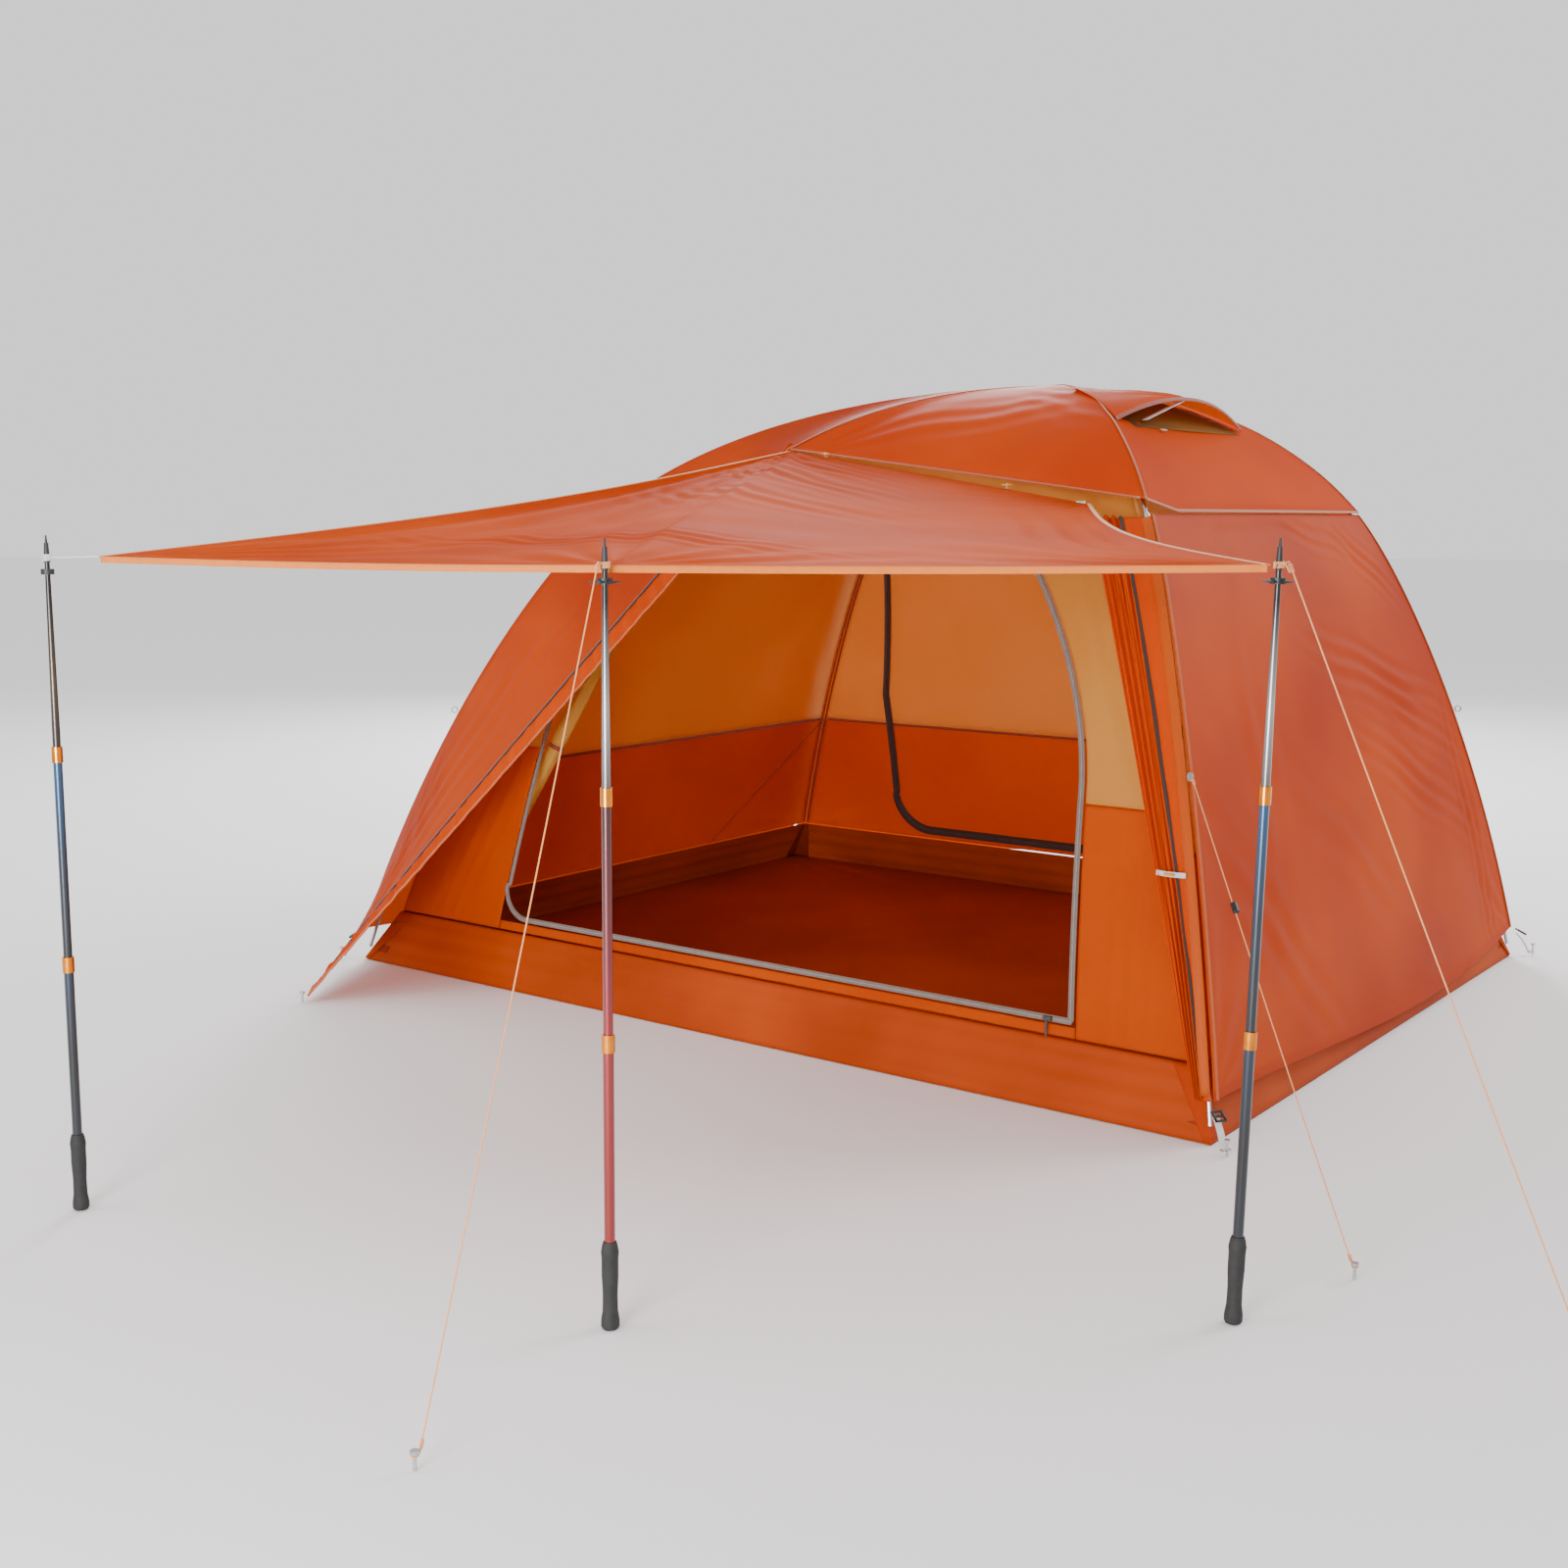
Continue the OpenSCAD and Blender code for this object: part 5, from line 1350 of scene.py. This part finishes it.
def front_piece(name, x0, x1, z_high, z_low, finish, seed, columns=40, rows=110):
    """A piece of the front wall between two side lines and two heights."""
    t = np.linspace(0, 1, rows)[:, None]
    z = z_high + (z_low - z_high) * t
    share = np.linspace(0, 1, columns)[None, :]
    w0 = side_share(INNER, x0(z), z) if x0 else np.full_like(z, 0.002)
    w1 = side_share(INNER, x1(z), z) if x1 else np.full_like(z, 0.998)
    base = on_layer(INNER, w0 + (w1 - w0) * share, z=z)
    relief = crumple(base, 0.16, 0.0018, seed)
    relief = relief + packet(base, base[rows // 2, columns // 2], base[0, 0] - base[-1, 0], 0.05,
                             0.0016, 0.5, 0.09)
    grid = lifted(base, relief * inside(base, 0.05))
    obj = shell(name, grid, finish, seam=near_edges(rows, columns, top=0.015, bottom=0.015))
    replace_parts(obj, "inner_front_wall")
    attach(obj, HOME)
    return grid


front_piece("front_left_high", None, door_left_x, DOOR_TOP, SEAM_RIGHT, LIGHT_CLOTH, 81)
front_piece("front_left_low", None, door_left_x, SEAM_RIGHT - 0.003, TUB_SEAM, WALL_CLOTH, 82)
front_piece("front_right_high", door_right_x, None, DOOR_TOP, SEAM_RIGHT, LIGHT_CLOTH, 83)
front_piece("front_right_low", door_right_x, None, SEAM_RIGHT - 0.003, TUB_SEAM, WALL_CLOTH, 84)
front_piece("front_sill", lambda z: door_left_x(z) + 0.002, lambda z: door_right_x(z) - 0.002,
            DOOR_SILL, TUB_SEAM, WALL_CLOTH, 85, columns=160, rows=8)
over, over_grid = wall_panel("front_over_door", 0, 1, PEAK, DOOR_TOP + 0.003, LIGHT_CLOTH, 86,
                             0.008)
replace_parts(over, "inner_front_wall")
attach(over, HOME)

# %% [markdown]
# ### Zips of the inner tent
#
# A zip is a flat woven tape with a raised nylon coil along its middle.  Its line
# runs just inside the door's edge, round a bend at the lower corner.  The tape is
# a flat outline carried along that line, and the coil a thin tube on top of it.

# %% Inner zips
BACK_LEFT, BACK_RIGHT, BACK_ROUND = 0.835, 0.620, 0.150
INWARD = np.array([0.0, -0.93, 0.36])


def door_line(left_x, inset, round_by, right_end):
    """x and z down a door's left side, round the corner and along its bottom."""
    z = np.linspace(DOOR_TOP - 0.020, DOOR_SILL + round_by, 70)
    a = np.radians(np.linspace(4, 86, 22))
    turn = round_by - inset
    x = np.concatenate([left_x(z) + inset, left_x(DOOR_SILL) + round_by - turn * np.cos(a)])
    z = np.concatenate([z, DOOR_SILL + round_by - turn * np.sin(a)])
    bottom = np.linspace(left_x(DOOR_SILL) + round_by, right_end, 60)
    return np.append(x, bottom), np.append(z, np.full(60, DOOR_SILL + inset))


def back_left_x(z):
    """Left side of the back door: it leans in a little and bends at the top."""
    return -BACK_LEFT + 0.045 * np.asarray(z) / ELBOW + 0.126 * past_bend(z)


def zip_pieces(name, path, width, up, tape_finish, coil_finish):
    """A tape with a coil on its upper face."""
    band = tape(name, path, width, 0.0018, tape_finish, up)
    coil = carry(f"{name}_coil", path + unit(up) * 0.0014, round_outline(0.0018, 8), up)
    coil.data.materials.append(coil_finish)
    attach(coil, HOME)
    return band


line_x, line_z = door_line(door_left_x, 0.013, 0.110, float(door_right_x(DOOR_SILL)) - 0.013)
up_z = np.linspace(DOOR_SILL + 0.016, DOOR_TOP - 0.020, 70)
line_x = np.concatenate([line_x, door_right_x(up_z) - 0.013])
line_z = np.concatenate([line_z, up_z])
door_zip_path = on_front(line_x, line_z) + [0, -0.001, 0]
door_zip = zip_pieces("door_zip_tape", door_zip_path, 0.015, INWARD, ZIP_TAPE, ZIP_COIL)
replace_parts(door_zip, "door_zip")
line_x, line_z = door_line(back_left_x, 0.007, BACK_ROUND, BACK_RIGHT)
mirrored = on_front(line_x, line_z) * [1, -1, 1]
back_zip_path = mirrored - [0, 0.0105, 0]
back_zip = zip_pieces("back_zip_tape", back_zip_path, 0.030, INWARD, ZIP_BROWN, ZIP_BROWN)
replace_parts(back_zip, "back_zip")
print("zips:", round(float(run_length(door_zip_path, 0)[-1]), 2), "and",
      round(float(run_length(back_zip_path, 0)[-1]), 2), "m")

# %% [markdown]
# ### Small things inside the room
#
# The rolled door is a real roll: a sheet on a screw-like surface whose radius
# grows by one cloth and some air each turn.  A thin cord holds the back left
# corner of the floor up against the wall's seam.

# %% Rolled door
def rolled(start, end, turns, inner, outer, rows=60, columns=150):
    """Radius grows evenly with the angle, round an axis from start to end."""
    way = unit(end - start)
    across = unit(np.cross(way, (0, 1, 0)))
    other = np.cross(way, across)
    t = np.linspace(0, 1, rows)[:, None, None]
    a = np.linspace(0, 2 * np.pi * turns, columns)[None, :, None]
    radius = inner + (outer - inner) * a / (2 * np.pi * turns)
    pinch = 1 - 0.16 * (np.exp(-(((t - 0.28) / 0.02) ** 2)) + np.exp(-(((t - 0.72) / 0.02) ** 2)))
    radius = radius * pinch + 0.0008 * np.sin(5 * a + 9 * t)
    axis = start + (end - start) * t + np.array([0, 0, -0.004]) * np.sin(np.pi * t)
    return axis + radius * (np.cos(a) * across + np.sin(a) * other)


ROLL_ASIDE = np.array([-0.062, 0.0375, -0.014])
roll_low, roll_high = (on_front(float(door_left_x(z)), z) + ROLL_ASIDE
                       for z in (0.35 * ELBOW, DOOR_TOP))
roll_grid = rolled(roll_low, roll_high, 3.3, 0.007, 0.0235)
roll = shell("door_rolled_up", roll_grid, LIGHT_CLOTH)
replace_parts(roll, "door_roll")
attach(roll, HOME)
roll_ties = []
for share in (0.28, 0.72):
    a = np.linspace(0, 2 * np.pi, 40)[:, None]
    way = unit(roll_high - roll_low)
    across = unit(np.cross(way, (0, 1, 0)))
    round_way = np.cos(a) * across + np.sin(a) * np.cross(way, across)
    centre = (roll_low + (roll_high - roll_low) * share
              + np.array([0, 0, -0.004]) * np.sin(np.pi * share))
    tie = tape(f"roll_tie_{len(roll_ties)}", centre + 0.0216 * round_way, 0.012, 0.0015,
               DARK_BINDING, round_way)
    roll_ties.append(tie)

# %% Tension cord and corner seams
TENSION_THICK = 0.003
high = on_layer(INNER, 3.0, z=WALL_SEAM) + [0.014, -0.014, 0]
low = on_layer(INNER, 3.29, z=TUB_SEAM + 0.014) + [0.014, 0, 0]
middle = ((on_layer(INNER, 3.0, z=WALL_SEAM) + on_layer(INNER, 3.29, z=TUB_SEAM + 0.014)) / 2
          + [0.014, -0.014, 0])
tension_path = np.concatenate([straight(high, middle, 20)[:-1], straight(middle, low, 20)])
tension = braided("tension_cord", tension_path, TENSION_THICK)
tension.data.materials.append(RED_CORD)
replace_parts(tension, "tension_cords")
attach(tension, HOME)
for k, name in ((2, "right"), (3, "left")):
    seam_z = np.linspace(1.30, 0.165, 60)
    for shift in (-0.004, 0.004):
        inward = np.array([0.010 if k == 3 else -0.010, -0.010, 0])
        line = on_layer(INNER, k + shift, z=seam_z) + inward
        seam = tape(f"inner_corner_seam_{name}_{'a' if shift < 0 else 'b'}", line, 0.007, 0.0016,
                    DARK_BINDING, (-inward[0], 1, 0))
for k, name in ((1, "right"), (2, "back"), (3, "left")):
    w = np.linspace(k + 0.01, k + 0.99, 80)
    inward = unit(np.append(-(rim(k + 0.5) - HUB), 0))
    line = on_layer(INNER, w, z=WALL_SEAM + 0.001) + inward * 0.004
    tape(f"wall_seam_{name}", line, 0.0018, 0.009, DARK_BINDING, (0, 0, 1))

# %% [markdown]
# ### The tub
#
# Floor and tub wall are one thick coated cloth.  It lies loose on the ground, so
# it keeps flat creases from its bag, and long faint folds run in from each
# corner, where the webbing pulls.

# %% Floor and tub wall
TUB_HEIGHT = 0.150
TUB_GROW = 0.995
tub_s = np.linspace(0, 1, 26)[:, None]
tub_w = side_columns(0.0, 4.0, 110)[None, :]
tub_z = TUB_HEIGHT * (1 - tub_s)
tub_lean = TUB_GROW + (INNER[0] * float(reach_of(TUB_HEIGHT)) - TUB_GROW) * (1 - tub_s)
tub_base = np.concatenate([HUB + tub_lean[..., None] * (rim(np.minimum(tub_w, 3.99999)) - HUB),
                           np.broadcast_to(tub_z[..., None], (26, tub_w.shape[1], 1))], -1)
tub_relief = crumple(tub_base, 0.25, 0.0022, 91) + 0.0016 * np.sin(2 * np.pi * tub_z / 0.05)
tub_grid = lifted(tub_base, tub_relief * ease(np.minimum(tub_s, 1 - tub_s) / 0.2))
tub = shell("tub_wall", tub_grid, TUB_CLOTH,
            seam=near_edges(26, tub_w.shape[1], top=0.05, bottom=0.05))
floor_x = np.linspace(-1, 1, 200)[None, :]
floor_y = np.linspace(1, -1, 160)[:, None]
floor_plan = np.stack(np.broadcast_arrays(HUB[0] + TUB_GROW * (floor_x * HALF_LENGTH - HUB[0]),
                                          TUB_GROW * floor_y * HALF_WIDTH), -1)
floor_base = np.concatenate([floor_plan, np.full((*floor_plan.shape[:2], 1), 0.0045)], -1)
floor_relief = 0.0014 + crumple(floor_base, 0.28, 0.0016, 95)
for sx, sy, phase in ((-1, 1, 0.0), (1, 1, 0.8), (-1, -1, 1.7), (1, -1, 2.4)):
    corner = (sx * 1.38, sy * 1.08, 0.0045)
    floor_relief = floor_relief + fan(floor_base, corner, (-sx, -sy, 0), 24, 0.0022, 0.75, phase)
crease = (0.0012 * np.exp(-(((floor_base[..., 0] - 0.30) / 0.006) ** 2))
          + 0.0012 * np.exp(-(((floor_base[..., 1] + 0.12) / 0.006) ** 2)))
floor_relief = np.maximum(floor_relief + crease, -0.0030) * inside(floor_base, 0.04)
floor_grid = floor_base + np.stack([0 * floor_relief, 0 * floor_relief, floor_relief], -1)
tent_floor = shell("tent_floor", floor_grid, FLOOR_CLOTH,
                   seam=near_edges(160, 200, 0.004, 0.004, 0.004, 0.004))
print("floor and tub wall made")

# %% [markdown]
# ### Corner patches
#
# Each corner of the tub carries the pull of a leg, so a triangle of doubled
# cloth is sewn over it, inside and out.  It is a small sheet that follows the
# tub's own surface and narrows towards the floor's edge.

# %% Corner patches
PATCH_SPREAD = 0.026
for k in range(4):
    for face, offset in (("out", 0.0022), ("in", -0.0030)):
        s = np.linspace(0, 1, 20)[:, None]
        j = np.linspace(-1, 1, 41)[None, :]
        w = k + PATCH_SPREAD * j * (0.25 + 0.75 * (1 - s) if face == "out" else 0.25 + 0.75 * s)
        z = TUB_HEIGHT * (1 - s) + 0.004 * s + 0 * j
        reach = TUB_GROW + (INNER[0] * float(reach_of(TUB_HEIGHT)) - TUB_GROW) * (1 - s)
        plan = HUB + (reach + 0 * j)[..., None] * (rim(w % 4) - HUB)
        out_way = unit(CORNERS[k] * [1, 1])
        grid = np.concatenate([plan + out_way * offset * 1.4, z[..., None]], -1)
        patch = shell(f"tub_corner_patch_{k}_{face}", grid,
                      FLY_SHADE_SHEEN if face == "out" else DARK_PATCH,
                      seam=near_edges(20, 41, 0.08, 0.08, 0.06, 0.06))
        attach(patch, HOME)
for obj, grid in ((tub, tub_grid), (tent_floor, floor_grid)):
    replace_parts(obj, "floor_tub")
    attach(obj, HOME)

# %% [markdown]
# ## Fittings sewn to the tent
#
# Loops, straps, toggles and buckles are small, but they tell the eye how big the
# tent is.  A loop is a flat tape on a circle, a toggle a rod whose width follows
# an ellipse at both ends, and a ladder buckle five short bars.

# %% Loops on the legs
for k in range(4):
    a = np.linspace(0, 2 * np.pi, 48)[:, None]
    ring_way = np.cos(a) * corner_way(k) + np.sin(a) * np.array([0, 0, 1.0])
    loop = tape(f"leg_loop_{k}", loop_point(k) + 0.0088 * ring_way, 0.008, 0.0016, WEBBING_GREY,
                ring_way)
    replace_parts(loop, "guyout_loops")


# %% Toggles and the tie-back
def toggle(name, centre, way, length, thick, finish):
    """A rod with rounded ends: its size follows sqrt(1 - s^6)."""
    s = np.linspace(-1, 1, 30)
    path = np.asarray(centre) + (s * length / 2)[:, None] * unit(way)
    size = np.sqrt(np.clip(1 - s**6, 0.02, 1)) * (0.86 + 0.14 * np.abs(s))
    rod = carry(name, path, round_outline(thick / 2, 16), (0, 0.1, 1), scale=size)
    rod.data.materials.append(finish)
    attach(rod, HOME)
    return rod


def cord_ring(name, centre, axis, radius):
    """A small loop of pale cord."""
    a = np.linspace(0, 2 * np.pi, 36)[:, None]
    axis = unit(axis)
    across = unit(np.cross(axis, (0.2, 0.1, 1)))
    ring = braided(name, centre + radius * (np.cos(a) * across + np.sin(a) * np.cross(axis, across)), 0.002, 8)
    ring.data.materials.append(PALE_CORD)
    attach(ring, HOME)
    return ring


def awning_rest_point(u, v):
    """The awning's surface before its folds, as the frame's solid has it."""
    corners = [header_point(np.array(0.0)), header_point(np.array(1.0)), tie_left, tie_right]
    left = bowed(corners[0], tie_left, (0.045, 0, -0.020), np.array(v))
    right = bowed(corners[1], tie_right, (-0.050, -0.040, -0.012), np.array(v))
    flat = ((corners[0] * (1 - u) + corners[1] * u) * (1 - v)
            + (tie_left * (1 - u) + tie_right * u) * v)
    return (header_point(np.array(u)) * (1 - v) + front_point(np.array(u)) * v + left * (1 - u)
            + right * u - flat)


for n, u in enumerate((0.18, 0.80)):
    spot = header_point(np.array(u)) + [0, -0.008, 0.010]
    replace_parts(toggle(f"header_toggle_{n}", spot, (1, 0, 0), 0.030, 0.007, AMBER_NYLON),
                "awning_toggles")
    cord_ring(f"header_toggle_cord_{n}", spot + [0, 0.002, -0.002], (1, 0.2, 0), 0.0065)
spot = awning_rest_point(0.52, 0.42) + [0, 0, 0.008]
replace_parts(toggle("awning_toggle", spot, (0.87, 0.5, 0), 0.030, 0.007, AMBER_NYLON),
            "awning_toggles")
TIE_BACK = 0.418 * ELBOW
tie_spot = on_layer(FLY, 0.985, z=TIE_BACK)
strap_t = np.linspace(0, 1, 30)[:, None]
strap_path = (tie_spot + np.array([-0.053, -0.014, 0]) + strap_t * [0.070, 0, 0]
              - np.sin(np.pi * strap_t) * [0, 0.006, 0])
strap = tape("tie_back_band", strap_path, 0.012, 0.002, WEBBING_WHITE, (0, -1, 0))
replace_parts(strap, "tie_back_strap")
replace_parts(toggle("tie_back_rod", tie_spot + [-0.018, -0.024, 0], (1, 0, 0), 0.026, 0.007,
                   AMBER_NYLON),
            "tie_back_toggle")
print("loops, toggles and tie-back made")


# %% Corner webbing and buckles
def bars(name, centre, way, lift, runs, width, thick, finish):
    """Several short bars in one plane, given as (along, across) pairs, as one piece."""
    way, lift = unit(way), unit(lift)
    across = np.cross(lift, way)
    parts = []
    for (a0, b0), (a1, b1) in runs:
        ends = [np.asarray(centre) + a * way + b * across for a, b in ((a0, b0), (a1, b1))]
        parts.append(carry("bar", straight(*ends, 4), tape_outline(width, thick), lift))
    obj = gather_mesh(name, parts)
    obj.data.materials.append(finish)
    return obj


FOOT = 0.052
for k in range(4):
    out = np.append(unit(CORNERS[k]), 0.0)
    base = np.append(CORNERS[k], 0.0)
    t = np.linspace(0, 1, 30)[:, None]
    path = base + out * (0.010 + (FOOT - 0.010) * t) + np.array([0, 0, 1]) * (0.070 - 0.062 * t)
    path = path + (out + [0, 0, 0.7]) * 0.0035 * np.sin(np.pi * t)
    band = tape(f"corner_band_{k}", path, 0.016, 0.0022, WEBBING_WHITE, out + [0, 0, 0.7])
    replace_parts(band, "corner_webbing")
    side = np.cross((0, 0, 1), out)
    pin_spot = base + out * (FOOT + 0.012)
    a = np.linspace(0, 2 * np.pi, 40)[:, None]
    ring_path = (pin_spot - out * 0.006 + [0, 0, 0.012]
                 + 0.011 * (np.cos(a) * out + np.sin(a) * side))
    ring = carry(f"corner_ring_{k}", ring_path, round_outline(0.0015, 10), (0, 0, 1))
    ring.data.materials.append(STAKE_ALLOY)
    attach(ring, HOME)
    slope = unit(out * math.cos(math.radians(30)) - np.array([0, 0, 1]) * math.sin(math.radians(30)))
    lift = np.cross(side, slope)
    lift = lift * np.sign(lift[2])
    runs = [((-0.014, -0.011), (0.014, -0.011)), ((-0.014, 0.011), (0.014, 0.011)),
            ((-0.013, -0.011), (-0.013, 0.011)), ((0.0, -0.011), (0.0, 0.011)),
            ((0.013, -0.011), (0.013, 0.011))]
    buckle = bars(f"corner_buckle_{k}", base + out * 0.024 + [0, 0, 0.075], slope, lift, runs,
                  0.0045, 0.006, BLACK_NYLON)
    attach(buckle, HOME)
    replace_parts(buckle, "corner_buckles")
print("corner fittings made")

# %% [markdown]
# ### Seams of the fly
#
# A flat-felled seam is four layers of cloth, so it reads as a narrow darker line
# that stands up a little.  The tapes below follow the panels' own edges, and a
# broader sleeve of cloth covers the right front leg.


# %% Seam tapes
def edge_tape(name, line, width, finish, away, lift=0.0012):
    """A tape along a line of surface points, lifted off the cloth."""
    return tape(name, np.asarray(line) + unit(away) * lift, width, 0.0014, finish, away)


roof_column = [int(np.argmin(np.abs(roof_w - w))) for w in (1.0, 2.0, 3.0)]
right_rows = slice(roof_column[0], roof_column[1] + 1)
edge_tape("seam_roof_end", roof_grid[-1, right_rows], 0.009, SEAM_DARK, (0.8, 0, 0.6))
edge_tape("seam_roof_left", roof_grid[-1, roof_column[2]:], 0.009, SEAM_DARK, (-0.8, 0, 0.6))
edge_tape("seam_roof_back", roof_grid[-1, roof_column[1]:roof_column[2] + 1], 0.009, SEAM_DARK,
          (0, 0.7, 0.7))
for n, column in enumerate(roof_column):
    line = roof_grid[1:, column]
    edge_tape(f"seam_roof_leg_{n}", line, 0.006, SEAM_DARK, unit(np.append(rim(n + 1.0), 1.2)))
edge_tape("seam_roof_wing", roof_grid[1:, 0], 0.007, SEAM_DARK, (-0.2, -0.6, 0.8))
edge_tape("seam_roof_header", roof_grid[-1, :roof_column[0]], 0.007, SEAM_DARK, (0, -0.6, 0.8))
for name, line, k in (("front_right", right_grid[:, 1], 1), ("back_right", right_grid[:, -2], 2),
                      ("back_left", left_grid[:, 1], 3), ("front_left", left_grid[:, -2], 4)):
    edge_tape(f"seam_leg_{name}", line, 0.008, SEAM_DARK, np.append(unit(rim(k % 4)), 0.3))
print("seams laid over the roof and the legs")

# %% Leg sleeve and plain patches
sleeve_z = np.linspace(END_SEAM - 0.012, HEM + 0.010, 80)
sleeve_line = on_layer(FLY, 0.9935, z=sleeve_z)
edge_tape("leg_sleeve_right", sleeve_line, 0.022, SLEEVE_CLOTH, (0.25, -0.95, 0.25), lift=0.004)


def label(name, centre, along, away, width, height, finish):
    """A small flat patch, its corners eased, with its face turned away."""
    along = unit(along)
    path = np.asarray(centre) + np.linspace(-0.5, 0.5, 12)[:, None] * along * width
    obj = carry(name, path, tape_outline(height, 0.0012), away)
    obj.data.materials.append(finish)
    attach(obj, HOME)
    return obj


label("vent_tag", (0.800, -0.207, 1.560), (0.2, 0.95, 0), (0.35, 0, 0.93), 0.020, 0.010,
      WEBBING_WHITE)
label("header_tag", header_point(np.array(0.97)) + [0.02, -0.012, -0.004], (1, 0.2, 0),
      (0, -0.9, 0.4), 0.024, 0.010,
      WEBBING_WHITE)
print("leg sleeve and labels made")

# %% [markdown]
# ## Floor, light and finish
#
# The tent stands on a plain pale floor in soft studio light: one broad light
# from the upper left, two from behind that rake over the far walls and shine
# through the cloth, a low one that reaches in at the door, and a bright surround.

# %% Stage
stage_mesh = bpy.data.meshes.new("stage_floor")
half = 60.0
stage_mesh.from_pydata([(-half, -half, -0.002), (half, -half, -0.002), (half, half, -0.002),
                        (-half, half, -0.002)],
                       [], [(0, 1, 2, 3)])
stage_floor = bpy.data.objects.new("stage_floor", stage_mesh)
bpy.context.collection.objects.link(stage_floor)
f = Finish("pale floor")
stage_mesh.materials.append(f.finish(f.principled(Base_Color=(0.90, 0.90, 0.90, 1), Roughness=0.8).outputs[0]))


def area_light(name, place, aim, size, power, colour=(1, 1, 1)):
    """A square soft light at a place, turned to face a point."""
    data = bpy.data.lights.new(name, "AREA")
    data.shape = "SQUARE"
    data.size, data.energy, data.color = size, power, colour
    obj = bpy.data.objects.new(name, data)
    obj.location = place
    way = Vector(aim) - Vector(place)
    obj.rotation_euler = way.to_track_quat("-Z", "Y").to_euler()
    bpy.context.collection.objects.link(obj)
    return obj


area_light("key", (-3.5, -6.0, 6.5), (0, 0, 0.8), 4.0, 120)
area_light("rear", (4.5, 5.5, 5.0), (0.3, 0, 0.8), 3.5, 330)
area_light("back", (-4.0, 5.5, 4.0), (-0.4, 0, 0.7), 3.0, 600)
area_light("door", (1.9, -6.3, 0.9), (-0.2, 0.4, 0.5), 1.6, 260)
world = bpy.data.worlds.new("studio")
world.use_nodes = True
world.node_tree.nodes["Background"].inputs["Color"].default_value = (1, 1, 1, 1)
world.node_tree.nodes["Background"].inputs["Strength"].default_value = 1.15
bpy.context.scene.world = world
print("lights and floor ready")
